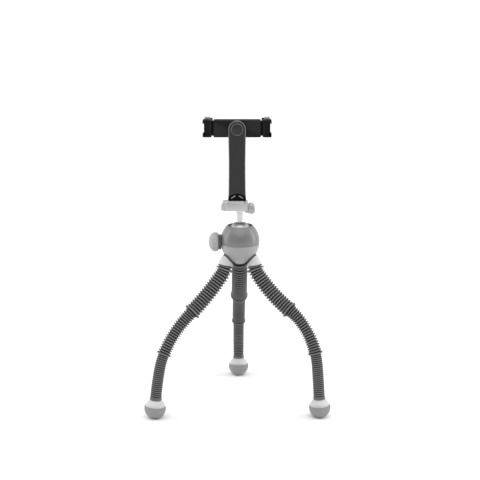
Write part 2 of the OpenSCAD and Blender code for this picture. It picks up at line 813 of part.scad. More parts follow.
module qr_plate() {
    d = clamp_depth / 2;
    color("lightgray") difference() {
        slab_y(plate_y0, d) polygon([
            [plate_x0, plate_z], [plate_x1, plate_z],
            [plate_x1 - dovetail, plate_top], [plate_x0 + dovetail, plate_top]]);
        translate([-arm_shift, plate_screw_y, plate_z - over])
            cylinder(d = tripod_screw_d + 2 * fit, h = plate_h + 2 * over);
        translate([-arm_shift, plate_screw_y, plate_z - over])
            cylinder(d = plate_screw_head_d + gap, h = plate_screw_head_h + over);
    }
}

module plate_screw() {
    color("gray") translate([-arm_shift, plate_screw_y, plate_z]) {
        cylinder(d = plate_screw_head_d, h = plate_screw_head_h);
        cylinder(d = tripod_screw_d, h = plate_h + plate_screw_in);
    }
}

// The upright arm: a plate with a round top on a foot that runs back over the clamp
module mount_arm() {
    color("black") translate([-arm_shift, 0, 0]) {
        difference() {
            union() {
                slab_y(arm_y0, arm_y1) {
                    translate([0, pivot_z]) circle(arm_r);
                    polygon([
                        [-foot_w / 2, foot_z], [foot_w / 2, foot_z], [foot_w / 2, foot_z + foot_h],
                        [arm_r, foot_z + 3 * foot_h], [arm_r, pivot_z],
                        [-arm_r, pivot_z], [-arm_r, foot_z + 3 * foot_h],
                        [-foot_w / 2, foot_z + foot_h]]);
                }
                block([-foot_w / 2, arm_y0, foot_z], [foot_w / 2, arm_y0 + foot_len, foot_z + foot_h]);
                along_y(0, pivot_z, arm_y1 - fit, bar_y0 - slip, friction_boss_d / 2);
            }
            along_y(0, pivot_z, arm_y0 - over, arm_y0 + cap_recess, pivot_cap_d / 2 + slip);
            along_y(0, pivot_z, arm_y0, arm_y0 + cap_recess + screw_head_h, screw_head_d / 2 + fit);
            along_y(0, pivot_z, arm_y0, bar_y0 + over, pivot_screw_d / 2 + fit);
            translate([0, plate_screw_y, foot_z - over])
                cylinder(d = tripod_screw_d, h = plate_screw_in + over + slip);
        }
        for (a = [arch_from, 180 - arch_from - arch_sweep])
            translate([0, arm_y0 + fit, foot_z - arch_sink]) rotate([90, 0, 0])
                rotate([0, 0, a]) rotate_extrude(angle = arch_sweep)
                    translate([arch_r - arch_w, 0]) square([arch_w, arch_proud + fit]);
    }
}

module pivot_screw() {
    color("gray") translate([-arm_shift, 0, 0]) {
        along_y(0, pivot_z, arm_y0 + cap_recess + fit, arm_y0 + cap_recess + screw_head_h, screw_head_d / 2);
        along_y(0, pivot_z, arm_y0 + cap_recess + screw_head_h - fit, bar_y1 + cover_t / 2,
            pivot_screw_d / 2);
    }
}

module pivot_cap() {
    color("black") translate([-arm_shift, 0, 0])
        along_y(0, pivot_z, arm_y0 - cap_proud, arm_y0 + cap_recess, pivot_cap_d / 2);
}

// The phone clamp's pieces are drawn round the pivot and then moved to it
module at_pivot() {
    translate([-arm_shift, 0, pivot_z]) children();
}

module clamp_bar() {
    color("black") at_pivot() difference() {
        block([-bar_len / 2, bar_y0, -bar_h / 2], [bar_len / 2, bar_y1, bar_h / 2]);
        block([-bar_len, track_y0 - 0.5 * gap, -track_h / 2 - gap],
            [bar_len, bar_y1 + over, track_h / 2 + gap]);
        along_y(0, 0, bar_y0 - over, bar_y1, pivot_screw_d / 2 + fit);
    }
}

module clamp_cover() {
    color("black") at_pivot() difference() {
        block([-bar_len / 2, bar_y1, -bar_h / 2], [bar_len / 2, back_y, bar_h / 2]);
        along_y(0, 0, bar_y1 - over, bar_y1 + cover_t / 2 + gap, pivot_screw_d / 2 + fit);
    }
}

// The right jaw: a block with a cold shoe, a claw behind it and a toothed tongue in the bar
module jaw() {
    pitch_z = -pitch_r;
    tooth = PI * gear_module;
    tip_w = (tooth / 2 - backlash) / 2 - addendum * tan(PRESSURE);
    root_w = (tooth / 2 - backlash) / 2 + dedendum * tan(PRESSURE);
    difference() {
        block([block_x0, bar_y0, -bar_h / 2], [block_x1, back_y, bar_h / 2]);
        block([block_x1 - shoe_lip - shoe_t, bar_y0 - over, -shoe_w / 2],
            [block_x1 - shoe_lip, back_y - shoe_stop, shoe_w / 2]);
        block([block_x1 - shoe_lip - over, bar_y0 - over, -shoe_mouth / 2],
            [block_x1 + over, back_y - shoe_stop, shoe_mouth / 2]);
    }
    block([phone_x + rubber_t, back_y - over, -bar_h / 2], [claw_x1, claw_y1, bar_h / 2]);
    block([phone_x - lip_reach, claw_y1 - over, -bar_h / 2], [claw_x1, claw_y1 + rubber_t, bar_h / 2]);
    block([block_x0 - tongue_len, track_y0, -track_h / 2],
        [block_x0 + over, track_y0 + track_t, track_h / 2]);
    slab_y(track_y0, track_y0 + track_t) {
        translate([-rack_end, -track_h / 2])
            square([block_x0 - tongue_len + rack_end + over, track_h / 2 + pitch_z - dedendum]);
        for (i = [0 : RACK_TEETH - 1])
            translate([(i - (RACK_TEETH - 1) / 2 + 0.5) * tooth, pitch_z]) polygon([
                [-root_w, -dedendum - fit], [root_w, -dedendum - fit], [root_w, -dedendum],
                [tip_w, addendum], [-tip_w, addendum], [-root_w, -dedendum]]);
    }
}

module jaw_pad() {
    y0 = back_y + gap;
    block([phone_x, y0, -bar_h / 2 - lump], [phone_x + rubber_t, claw_y1 - over, bar_h / 2 + lump]);
    for (z = [-bar_h / 2 - lump, bar_h / 2])
        block([phone_x, y0, z], [claw_x1, claw_y1 - over, z + lump]);
}

module jaw_right() {
    color("black") at_pivot() jaw();
}

module jaw_left() {
    color("black") at_pivot() rotate([0, 180, 0]) jaw();
}

module pad_right() {
    color("lightgray") at_pivot() jaw_pad();
}

module pad_left() {
    color("lightgray") at_pivot() rotate([0, 180, 0]) jaw_pad();
}

// Half angle of a pinion tooth at radius r
function involute(a) = tan(a) * 180 / PI - a;

function tooth_half(r) =
    let (base = pitch_r * cos(PRESSURE))
    (PI * gear_module / 2 - backlash) / 2 / pitch_r * 180 / PI
        + involute(PRESSURE) - (r > base ? involute(acos(base / r)) : 0);

module pinion() {
    tip = pitch_r + addendum;
    base = pitch_r * cos(PRESSURE);
    root = pitch_r - dedendum;
    radii = concat([root], [for (i = [0 : TOOTH_STEPS]) base + (tip - base) * i / TOOTH_STEPS]);
    n = len(radii);
    color("white") at_pivot() difference() {
        slab_y(track_y0, track_y0 + track_t) polygon([
            for (k = [0 : PINION_TEETH - 1], i = [0 : 2 * n - 1])
                let (r = radii[i < n ? i : 2 * n - 1 - i])
                let (a = 90 + 360 * k / PINION_TEETH + (i < n ? -1 : 1) * tooth_half(r))
                [r * cos(a), r * sin(a)]]);
        along_y(0, 0, track_y0 - over, track_y0 + track_t + over, pivot_screw_d / 2 + fit);
    }
}

leg_hub();
bowl();
dome();
friction_ring();
ball_seat();
ball_stem();
lock_knob();
knob_grip();
knob_screw();
pressure_pin();
qr_base();
qr_jaw();
qr_lever();
lever_pin();
jaw_springs();
qr_plate();
plate_screw();
mount_arm();
pivot_screw();
pivot_cap();
clamp_bar();
clamp_cover();
jaw_left();
jaw_right();
pad_left();
pad_right();
pinion();
root_sleeve(LEFT);  // left_root_sleeve
upper_sleeve(LEFT);  // left_upper_sleeve
knee_sleeve(LEFT);  // left_knee_sleeve
middle_sleeve(LEFT);  // left_middle_sleeve
ankle_sleeve(LEFT);  // left_ankle_sleeve
lower_sleeve(LEFT);  // left_lower_sleeve
upper_link(LEFT);  // left_upper_link
middle_link(LEFT);  // left_middle_link
lower_link(LEFT);  // left_lower_link
foot_cap(LEFT);  // left_foot_cap
foot_pad(LEFT);  // left_foot_pad
root_sleeve(RIGHT);  // right_root_sleeve
upper_sleeve(RIGHT);  // right_upper_sleeve
knee_sleeve(RIGHT);  // right_knee_sleeve
middle_sleeve(RIGHT);  // right_middle_sleeve
ankle_sleeve(RIGHT);  // right_ankle_sleeve
lower_sleeve(RIGHT);  // right_lower_sleeve
upper_link(RIGHT);  // right_upper_link
middle_link(RIGHT);  // right_middle_link
lower_link(RIGHT);  // right_lower_link
foot_cap(RIGHT);  // right_foot_cap
foot_pad(RIGHT);  // right_foot_pad
root_sleeve(REAR);  // rear_root_sleeve
upper_sleeve(REAR);  // rear_upper_sleeve
knee_sleeve(REAR);  // rear_knee_sleeve
middle_sleeve(REAR);  // rear_middle_sleeve
ankle_sleeve(REAR);  // rear_ankle_sleeve
lower_sleeve(REAR);  // rear_lower_sleeve
upper_link(REAR);  // rear_upper_link
middle_link(REAR);  // rear_middle_link
lower_link(REAR);  // rear_lower_link
foot_cap(REAR);  // rear_foot_cap
foot_pad(REAR);  // rear_foot_pad
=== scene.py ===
"""Visual model of the flexible phone tripod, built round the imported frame.

Lengths are in millimetres until MM turns them to metres.
"""
from collections import namedtuple
from contextlib import contextmanager
from math import asin, atan2, cos, hypot, pi, radians, sin, sqrt, tan

import bmesh
import bpy
from mathutils import Matrix, Vector


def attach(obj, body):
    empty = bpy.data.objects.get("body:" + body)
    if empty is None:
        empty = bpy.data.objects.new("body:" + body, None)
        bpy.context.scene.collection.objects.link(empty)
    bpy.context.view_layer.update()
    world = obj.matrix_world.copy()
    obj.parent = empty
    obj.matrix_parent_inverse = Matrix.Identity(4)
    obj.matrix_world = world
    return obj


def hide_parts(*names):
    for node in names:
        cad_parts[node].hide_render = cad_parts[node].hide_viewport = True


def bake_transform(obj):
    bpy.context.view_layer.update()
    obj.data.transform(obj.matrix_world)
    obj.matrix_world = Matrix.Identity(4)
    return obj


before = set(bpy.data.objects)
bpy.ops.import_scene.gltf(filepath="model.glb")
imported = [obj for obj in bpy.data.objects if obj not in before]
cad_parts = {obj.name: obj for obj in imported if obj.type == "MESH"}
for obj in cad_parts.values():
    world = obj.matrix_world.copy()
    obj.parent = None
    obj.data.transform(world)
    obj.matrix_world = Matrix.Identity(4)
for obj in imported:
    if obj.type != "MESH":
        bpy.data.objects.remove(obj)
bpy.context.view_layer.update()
MM = 0.001
SCENE = bpy.context.scene

# Sizes of the design, in millimetres and degrees
HOUSING_RISE, BOWL_EXTRA, SEAM_DROP, RIM_RISE, RIM_DISH, HOUSING_WALL = 28.2, 2.4, 3.2, 21.3, 1.3, 7.4
BALL_R, BALL_RISE, NECK_R, STEM_R, FLANGE_R, FLANGE_H, CLAMP_RISE = 14.5, 12.2, 5.3, 4.4, 5.1, 4.7, 30.2
CUP_WALL, OPENING_R, LIP_DROP = 3.4, 11.4, 3.1
KNOB_DROP, KNOB_R, KNOB_LEN, KNOB_BORE, KNOB_TAPER, TAPER_LEN = 1.3, 12.75, 13.4, 10, 2.3, 4.2
GRIP_R, GRIP_LEN, GRIP_TEETH, FLUTES, SCREW_R = 10.1, 2.3, 3, 16, 3.0
SOCKET_REACH, SOCKET_DROP, SOCKET_R, SOCKET_LEN, SOCKET_SLOPE = 21.5, 30.0, 9.8, 17.0, 12.0
BOSS_R, SPOKE_W, SPOKE_H, STUD_BORE_R, STUB_R, CUP_R, LINK_BALL_R = 7.0, 9.0, 5.0, 4.05, 2.6, 4.1, 2.95
STRETCHES = [16.0, 62.5, 16.0, 51.0, 16.0, 42.0]
LEFT_ANGLES = [26.5, 11.6, -4.7, -21.4, -11.1, -7.5]
OTHER_ANGLES = {"right": [18.7, -13.4, -29.3, -9.4, -1.3], "rear": [22, -4, -18, -10, -26]}
AZIMUTH = {"left": 207.4, "right": 332.6, "rear": 91}
CAP_H, CAP_R, CAP_TOP_R, COLLAR_H, SPIGOT_R, SPIGOT_H = 11.0, 13.4, 7.4, 2.4, 6.0, 5.0
PAD_R, PAD_SINK, PAD_FLAT, ROD_R, ROD_DEPTH = 14.1, 2.9, 0.5, 1.7, 6.3
FLOOR_H, PLATE_H, PLATE_W, PLATE_SHIFT, DOVETAIL, CLAMP_DEPTH = 5.6, 5.2, 25.6, 5.2, 2.6, 24.0
FIXED_JAW_W, MOVING_JAW_W, NOSE_W, PIN_REACH, PIN_RISE, PIN_R = 3.4, 2.8, 3.6, 4.9, 5.0, 1.5
CAM_R, CAM_THROW, LEVER_W, EAR_W, EAR_R, FRONT_T, TAIL_T = 3.8, 0.8, 22.0, 8.0, 3.4, 1.8, 3.6
BOLT_R, BOLT_HOLE_R, BOLT_HEAD_R, BOLT_HEAD_H, BOLT_Y = 3.175, 3.2, 5.65, 3.4, 5.6
ARM_SHIFT, ARM_W, FOOT_W, ARM_T, ARM_H, FOOT_LEN, FOOT_H = 3.8, 22.8, 24.0, 6.0, 94.3, 14.0, 7.0
PIVOT_CAP_R, PIVOT_SCREW_R, PIVOT_HEAD_R, PIVOT_HEAD_H, PIVOT_BOSS_R = 8.1, 2.5, 5.05, 2.4, 6.5
CAP_RECESS, CAP_PROUD, ARM_Y0 = 1.6, 0.4, 1.0
PHONE_W, PHONE_T, BAR_LEN, BAR_H, BAR_DEPTH, COVER_T, BAR_GAP = 71.4, 9.0, 61.8, 22.6, 14.0, 3.5, 1.5
BLOCK_INSET, BLOCK_W, RUBBER_T, CLAW_T, LIP_REACH, LUMP = 2.2, 11.6, 2.4, 5.2, 3.4, 2.0
SHOE_W, SHOE_T, SHOE_MOUTH, SHOE_LIP, SHOE_STOP = 18.8, 2.2, 12.6, 1.4, 2.0
COVER_SCREW_X, COVER_SCREW_R, COVER_SEAT_R = 23, 2.2, 2.4
TRACK_T, TRACK_H, TONGUE_LEN, RACK_END, GEAR_MODULE, RACK_TEETH = 5.4, 19.6, 11.0, 15.0, 1.0, 9
GAP, SLIP, FIT, OVER, FAR, WELD = 0.3, 0.2, 0.05, 1.0, 60, 0.003
UP, LEFT, BACK, FRONT = (0, 0, 1), (-1, 0, 0), (0, 1, 0), (0, -1, 0)

# Sides of round forms, and the angle in degrees over which an edge stays crisp
HOUSING_SIDES, TURNED_SIDES, SEAT_SIDES, CAP_SIDES, RIB_SIDES = 128, 96, 80, 72, 56
BORE_SIDES, HOLE_SIDES, LINK_SIDES = 48, 40, 32
CRISP, SOFT_CRISP = 32, 50

STARTS = [sum(STRETCHES[:i]) for i in range(len(STRETCHES) + 1)]
END_S = STARTS[-1]
ROOT_S = STRETCHES[0] / 2


def arc_step(p, length, turn):
    """The end (radius, height, slope in degrees) of an arc that starts at p and turns as it goes."""
    half = radians(turn / 2)
    chord = length if abs(half) < 1e-9 else length * sin(half) / half
    slope = radians(p[2]) + half
    return (p[0] + chord * sin(slope), p[1] - chord * cos(slope), p[2] + turn)


def pose_at(bends, s, p):
    """The radius, height and slope of a leg at a distance s from its start."""
    for i, length in enumerate(STRETCHES):
        if i == len(STRETCHES) - 1 or s <= length:
            return arc_step(p, s, bends[i] * s / length)
        p = arc_step(p, length, bends[i])
        s -= length


def sole_height(bends, mouth):
    """Height of the foot pad's centre for a leg that leaves a socket at mouth."""
    end = pose_at(bends, END_S, mouth)
    return end[1] - (CAP_H + PAD_SINK) * cos(radians(end[2]))


STANDING = PAD_R - PAD_FLAT
MOUTH_Z = STANDING - sole_height(LEFT_ANGLES, (SOCKET_REACH, 0, SOCKET_SLOPE))
MOUTH = (SOCKET_REACH, MOUTH_Z, SOCKET_SLOPE)


def solved(rest):
    """All bends of a leg, with the root's found so that the foot stands on the floor."""
    low, high = -20.0, 70.0
    for _ in range(40):
        middle = (low + high) / 2
        if sole_height([middle, *rest], MOUTH) < STANDING:
            low = middle
        else:
            high = middle
    return [(low + high) / 2, *rest]


BENDS = {"left": LEFT_ANGLES, **{leg: solved(rest) for leg, rest in OTHER_ANGLES.items()}}
HEAD_Z = MOUTH[1] + SOCKET_DROP
BALL_Z = HEAD_Z + BALL_RISE
LOW_RISE = HOUSING_RISE + BOWL_EXTRA
CAVITY_R = BALL_R + CUP_WALL + 2 * FIT + GAP
HOUSING_R = CAVITY_R + HOUSING_WALL
SEAM_Z, RIM_Z = HEAD_Z - SEAM_DROP, HEAD_Z + RIM_RISE
SEAM_R = sqrt(CAVITY_R ** 2 - (BALL_Z - SEAM_Z) ** 2)
KNOB_AT = (0, 0, HEAD_Z - KNOB_DROP)
KNOB_HOLE = (SCREW_R + FIT, 9, FAR, LEFT, KNOB_AT, BORE_SIDES)
CLAMP_Z = BALL_Z + CLAMP_RISE
FLOOR_Z = CLAMP_Z + FLOOR_H
PLATE_Z = FLOOR_Z + SLIP
PLATE_TOP = PLATE_Z + PLATE_H
WALL_Z, JAW_TOP = PLATE_TOP - 1.5, PLATE_TOP - 2 * SLIP
PLATE_Y0 = FRONT_T + SLIP - CLAMP_DEPTH / 2
PLATE_X0 = -PLATE_SHIFT - PLATE_W / 2
PLATE_X1 = PLATE_X0 + PLATE_W
BASE_X0 = PLATE_X0 - SLIP - FIXED_JAW_W
MOVING_X1 = PLATE_X1 + SLIP + MOVING_JAW_W
BASE_X1 = MOVING_X1 + CAM_THROW
PIN_X, PIN_Z = MOVING_X1 + PIN_REACH, CLAMP_Z + PIN_RISE
PIN_AT = (PIN_X, 0, PIN_Z)
BOLT_AT = (-ARM_SHIFT, BOLT_Y, 0)
PIVOT_Z = PLATE_TOP + ARM_H
PIVOT_AT = (-ARM_SHIFT, ARM_Y0, PIVOT_Z)
ARM_Y1 = ARM_Y0 + ARM_T
BAR_Y0 = ARM_Y1 + BAR_GAP
BACK_Y = BAR_Y0 + BAR_DEPTH
BAR_Y1 = BACK_Y - COVER_T
TRACK_Y0 = BAR_Y1 - TRACK_T - 0.5 * GAP
PHONE_X = PHONE_W / 2
BLOCK_X0 = PHONE_X - BLOCK_INSET
BLOCK_X1 = BLOCK_X0 + BLOCK_W
CLAW_X1 = PHONE_X + RUBBER_T + CLAW_T
CLAW_Y1 = BACK_Y + GAP + PHONE_T + RUBBER_T


# Shapes

def crisp(bm, angle):
    """Shades a mesh smooth, with edges over the angle kept crisp."""
    limit = radians(angle)
    for face in bm.faces:
        face.smooth = True
    for edge in bm.edges:
        edge.smooth = len(edge.link_faces) == 2 and edge.calc_face_angle(0) < limit


def placed(name, data):
    obj = bpy.data.objects.new(name, data)
    SCENE.collection.objects.link(obj)
    return obj


def finish_mesh(name, bm, angle=CRISP):
    """A smooth-shaded object from a bmesh in millimetres."""
    bmesh.ops.recalc_face_normals(bm, faces=bm.faces)
    crisp(bm, angle)
    for vert in bm.verts:
        vert.co *= MM
    mesh = bpy.data.meshes.new(name)
    bm.to_mesh(mesh)
    bm.free()
    return placed(name, mesh)


def spaced(start, end, steps):
    """Evenly spaced numbers with both ends."""
    return [start + (end - start) * i / steps for i in range(steps + 1)]


def rectangle(x0, x1, z0, z1):
    return [(x0, z0), (x1, z0), (x1, z1), (x0, z1)]


def circle(radius, sides):
    turns = [2 * pi * j / sides for j in range(sides)]
    return [(radius * cos(t), radius * sin(t)) for t in turns]


def arc(radius, degrees):
    turns = [radians(a) for a in degrees]
    return [(radius * cos(t), radius * sin(t)) for t in turns]


def rounded(points, radii, steps=5):
    """A closed outline with each corner turned to an arc of its own radius."""
    out = []
    n = len(points)
    for i, corner in enumerate(points):
        r = radii[i] if isinstance(radii, (list, tuple)) else radii
        p = Vector(corner)
        u, v = Vector(points[i - 1]) - p, Vector(points[(i + 1) % n]) - p
        half = u.angle(v) / 2 if r > 0 and min(u.length, v.length) >= 1e-6 else 0
        if not radians(2) <= half <= radians(88):
            out.append(tuple(p))
            continue
        reach = min(r / tan(half), u.length * 0.48, v.length * 0.48)
        r = reach * tan(half)
        u, v = u.normalized(), v.normalized()
        centre = p + (u + v).normalized() * (r / sin(half))
        start, end = p + u * reach - centre, p + v * reach - centre
        sweep = start.angle_signed(end)
        base = atan2(start.y, start.x)
        for k in range(steps + 1):
            t = base - sweep * k / steps
            out.append((centre.x + r * cos(t), centre.y + r * sin(t)))
    return out


def skin(bm, loops, closed=False):
    """Faces from each loop of points to the next. A loop may be a single point."""
    for a, b in zip(loops, loops[1:] + loops[:closed]):
        sides = max(len(a), len(b))
        for j in range(sides):
            k = (j + 1) % sides
            ring = (a[j % len(a)], b[j % len(b)], b[k % len(b)], a[k % len(a)])
            corners = list(dict.fromkeys(ring))
            if len(corners) > 2:
                bm.faces.new(corners)


def prism(name, outline, low, high, plane="XZ", edge=0.0, segments=3):
    """An outline made solid along the axis that its plane leaves out."""
    bm = bmesh.new()
    place = {
        "XZ": lambda a, b, t: (a, t, b),
        "XY": lambda a, b, t: (a, b, t),
        "YZ": lambda a, b, t: (t, a, b),
    }[plane]
    near = [bm.verts.new(place(a, b, low)) for a, b in outline]
    far = [bm.verts.new(place(a, b, high)) for a, b in outline]
    bm.faces.new(near)
    bm.faces.new(far)
    n = len(outline)
    for i in range(n):
        bm.faces.new((near[i], near[(i + 1) % n], far[(i + 1) % n], far[i]))
    obj = finish_mesh(name, bm)
    if edge > 0:
        bevel(obj, edge, segments)
    return obj


def block(name, low, high, edge=0.0):
    """A box between two corners."""
    return prism(name, rectangle(low[0], high[0], low[2], high[2]), low[1], high[1], edge=edge)


def wedge(name, outline, y0, y1, corners=0.0, edge=0.0):
    """An outline in X and Z made solid from y0 to y1, with its corners and then all edges rounded."""
    return prism(name, rounded(outline, corners) if corners else outline, y0, y1, edge=edge)


def lathe(name, profile, sides, matrix=None, angle=CRISP, closed=False):
    """A body of revolution from (radius, height) points about Z, then placed by a matrix."""
    bm = bmesh.new()
    rings = []
    for r, z in profile:
        spots = [(0, 0)] if r < 1e-6 else circle(r, sides)
        rings.append([bm.verts.new((x, y, z)) for x, y in spots])
    skin(bm, rings, closed)
    if matrix is not None:
        bmesh.ops.transform(bm, matrix=matrix, verts=bm.verts)
    return finish_mesh(name, bm, angle)


def along(direction, origin=(0, 0, 0)):
    """The matrix that turns +Z to a direction and moves it to an origin."""
    turn = Vector(direction).to_track_quat("Z", "Y").to_matrix().to_4x4()
    return Matrix.Translation(origin) @ turn


def cylinder(name, radius, low, high, direction=UP, origin=(0, 0, 0), sides=HOLE_SIDES):
    profile = [(0, low), (radius, low), (radius, high), (0, high)]
    return lathe(name, profile, sides, along(direction, origin))


def bake(obj):
    """Applies the modifiers of an object to its mesh."""
    graph = bpy.context.evaluated_depsgraph_get()
    mesh = bpy.data.meshes.new_from_object(obj.evaluated_get(graph))
    mesh.name = obj.name
    obj.modifiers.clear()
    obj.data = mesh


@contextmanager
def editing(obj):
    """Opens the mesh of an object as a bmesh and writes it back."""
    bm = bmesh.new()
    bm.from_mesh(obj.data)
    yield bm
    bm.to_mesh(obj.data)
    bm.free()


def recrisp(obj, angle=CRISP):
    with editing(obj) as bm:
        crisp(bm, angle)


def bevel(obj, width, segments=3, angle=30):
    """Rounds the edges over an angle."""
    mod = obj.modifiers.new("edge", "BEVEL")
    mod.width, mod.segments = width * MM, segments
    mod.limit_method, mod.angle_limit = "ANGLE", radians(angle)
    mod.miter_outer = "MITER_ARC"
    bake(obj)
    recrisp(obj, 40)


def combine(obj, other, how="DIFFERENCE"):
    """Cuts or joins another object into obj and removes it."""
    mod = obj.modifiers.new("cut", "BOOLEAN")
    mod.operation, mod.solver, mod.object = how, "EXACT", other
    bake(obj)
    bpy.data.objects.remove(other)
    recrisp(obj)


def add(obj, other):
    combine(obj, other, "UNION")


def drill(obj, *hole, **more):
    combine(obj, cylinder("hole", *hole, **more))


def carve(obj, low, high):
    combine(obj, block("box", low, high))


def close(obj):
    """Welds points that a cut left a hair apart and fills what is still open."""
    with editing(obj) as bm:
        bmesh.ops.remove_doubles(bm, verts=bm.verts, dist=WELD * MM)
        edges = [edge for edge in bm.edges if len(edge.link_faces) == 1]
        bmesh.ops.holes_fill(bm, edges=edges, sides=0)
    recrisp(obj)


def join(obj, *others):
    """Joins meshes as they are, without a boolean."""
    with editing(obj) as bm:
        for other in others:
            bm.from_mesh(other.data)
    for other in others:
        bpy.data.objects.remove(other)
    return obj


# Pieces and their surfaces

def dress(obj, look):
    obj.data.materials.clear()
    obj.data.materials.append(LOOKS[look])


def piece(obj, body, look, slot, *nodes):
    """Gives a mesh its look and body, and hides the CAD nodes that it stands for. The slot is not used."""
    dress(obj, look)
    normals = obj.modifiers.new("flat faces", "WEIGHTED_NORMAL")
    normals.keep_sharp = True
    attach(obj, body)
    if nodes:
        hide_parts(*nodes)


def paint(obj, look, chosen):
    """Gives a second look to the faces that a test picks by centre and normal."""
    obj.data.materials.append(LOOKS[look])
    for face in obj.data.polygons:
        if chosen(face.center, face.normal):
            face.material_index = 1


def mark_crest(obj, height):
    """Stores how far up a rib each point is, from 0 to 1, for its colour, which darkens the grooves as
    painted shade.
    """
    marks = obj.data.attributes.new("crest", "FLOAT", "POINT").data
    for mark, vert in zip(marks, obj.data.vertices):
        mark.value = height(vert.co)


# Shader nodes

def feed(tree, target, key, value):
    """Links an output to an input, or sets the input's own value."""
    if isinstance(value, bpy.types.NodeSocket):
        tree.links.new(value, target.inputs[key])
    else:
        target.inputs[key].default_value = value


def add_node(tree, kind, inputs, **settings):
    made = tree.nodes.new("ShaderNode" + kind)
    for key, value in settings.items():
        setattr(made, key, value)
    for key, value in inputs.items():
        feed(tree, made, key, value)
    return made


def noise(tree, spot, scale, detail):
    inputs = {"Vector": spot, "Scale": scale, "Detail": detail}
    return add_node(tree, "TexNoise", inputs).outputs["Fac"]


def ranged(tree, value, source, target, kind="LINEAR"):
    """A value moved from its source range to a target range."""
    inputs = {"Value": value}
    inputs.update(zip(("From Min", "From Max", "To Min", "To Max"), (*source, *target)))
    return add_node(tree, "MapRange", inputs, interpolation_type=kind).outputs["Result"]


def mixed(tree, share, a, b, kind="RGBA"):
    inputs = {"Factor": share, "A": a, "B": b}
    return add_node(tree, "Mix", inputs, data_type=kind).outputs["Result"]


# Materials

DRIFT_SCALE, SMEAR_SCALE = 55, 180
NOISE_RANGE, HIGHLIGHT_RANGE = (0.3, 0.7), (0.52, 0.62)
GRAIN_DEPTH, COAT_ROUGH, RUBBER_ROUGH = 0.05, 0.15, 0.62


def material(name, color, rough, metallic=0.0, grain=0.3, grain_size=0.25, mottle=0.02,
             rough_spread=0.06, coat=0.0, specular=0.5, edge_highlight=0.0, streak=0.0):
    """A surface with colour drift, fine grain, uneven gloss and sharp edges lightened as a painted
    highlight.
    """
    mat = bpy.data.materials.new(name)
    mat.use_nodes = True
    tree = mat.node_tree
    spot = add_node(tree, "TexCoord", {}).outputs["Object"]
    drift = ranged(tree, noise(tree, spot, DRIFT_SCALE, 4), NOISE_RANGE, (1 - mottle, 1 + mottle))
    tint = add_node(tree, "VectorMath", {0: color, "Scale": drift}, operation="SCALE").outputs["Vector"]
    # Sharp convex edges are lightened towards white as a painted highlight.
    if edge_highlight:
        sharpness = add_node(tree, "NewGeometry", {}).outputs["Pointiness"]
        lighter = (*[min(1, c * 2 + 0.05) for c in color], 1)
        tint = mixed(tree, ranged(tree, sharpness, HIGHLIGHT_RANGE, (0, edge_highlight)), tint, lighter)
    spread = (max(0.02, rough - rough_spread), min(1, rough + rough_spread))
    gloss = ranged(tree, noise(tree, spot, SMEAR_SCALE, 5), NOISE_RANGE, spread)
    finish = {"Base Color": tint, "Roughness": gloss, "Metallic": metallic,
              "Specular IOR Level": specular, "Coat Weight": coat, "Coat Roughness": COAT_ROUGH}
    if grain:
        if streak:
            stretch = {"Vector": spot, "Scale": (1, 1, streak)}
            spot = add_node(tree, "Mapping", stretch).outputs["Vector"]
        bumps = {"Strength": grain, "Distance": GRAIN_DEPTH * MM,
                 "Height": noise(tree, spot, 1 / MM / grain_size, 3)}
        finish["Normal"] = add_node(tree, "Bump", bumps).outputs["Normal"]
    for key, value in finish.items():
        feed(tree, tree.nodes["Principled BSDF"], key, value)
    return mat


def rubber(name, crest, groove):
    """Ribbed rubber: lighter crests, grooves darkened as painted shade, a fine moulded grain."""
    mat = material(name, crest, RUBBER_ROUGH, grain=0.5, grain_size=0.35, mottle=0.08, specular=0.35)
    tree = mat.node_tree
    shader = tree.nodes["Principled BSDF"]
    tinted = shader.inputs["Base Color"].links[0].from_socket
    height = add_node(tree, "Attribute", {}, attribute_name="crest").outputs["Fac"]
    # Low points take the groove colour as painted shade.
    feed(tree, shader, "Base Color", mixed(tree, height, (*groove, 1), tinted))
    return mat


def grey(v, warm=0.0):
    """A linear grey from an 8-bit screen value."""
    s = v / 255
    linear = s / 12.92 if s <= 0.04045 else ((s + 0.055) / 1.055) ** 2.4
    return (linear * (1 + warm), linear, linear * (1 - warm))


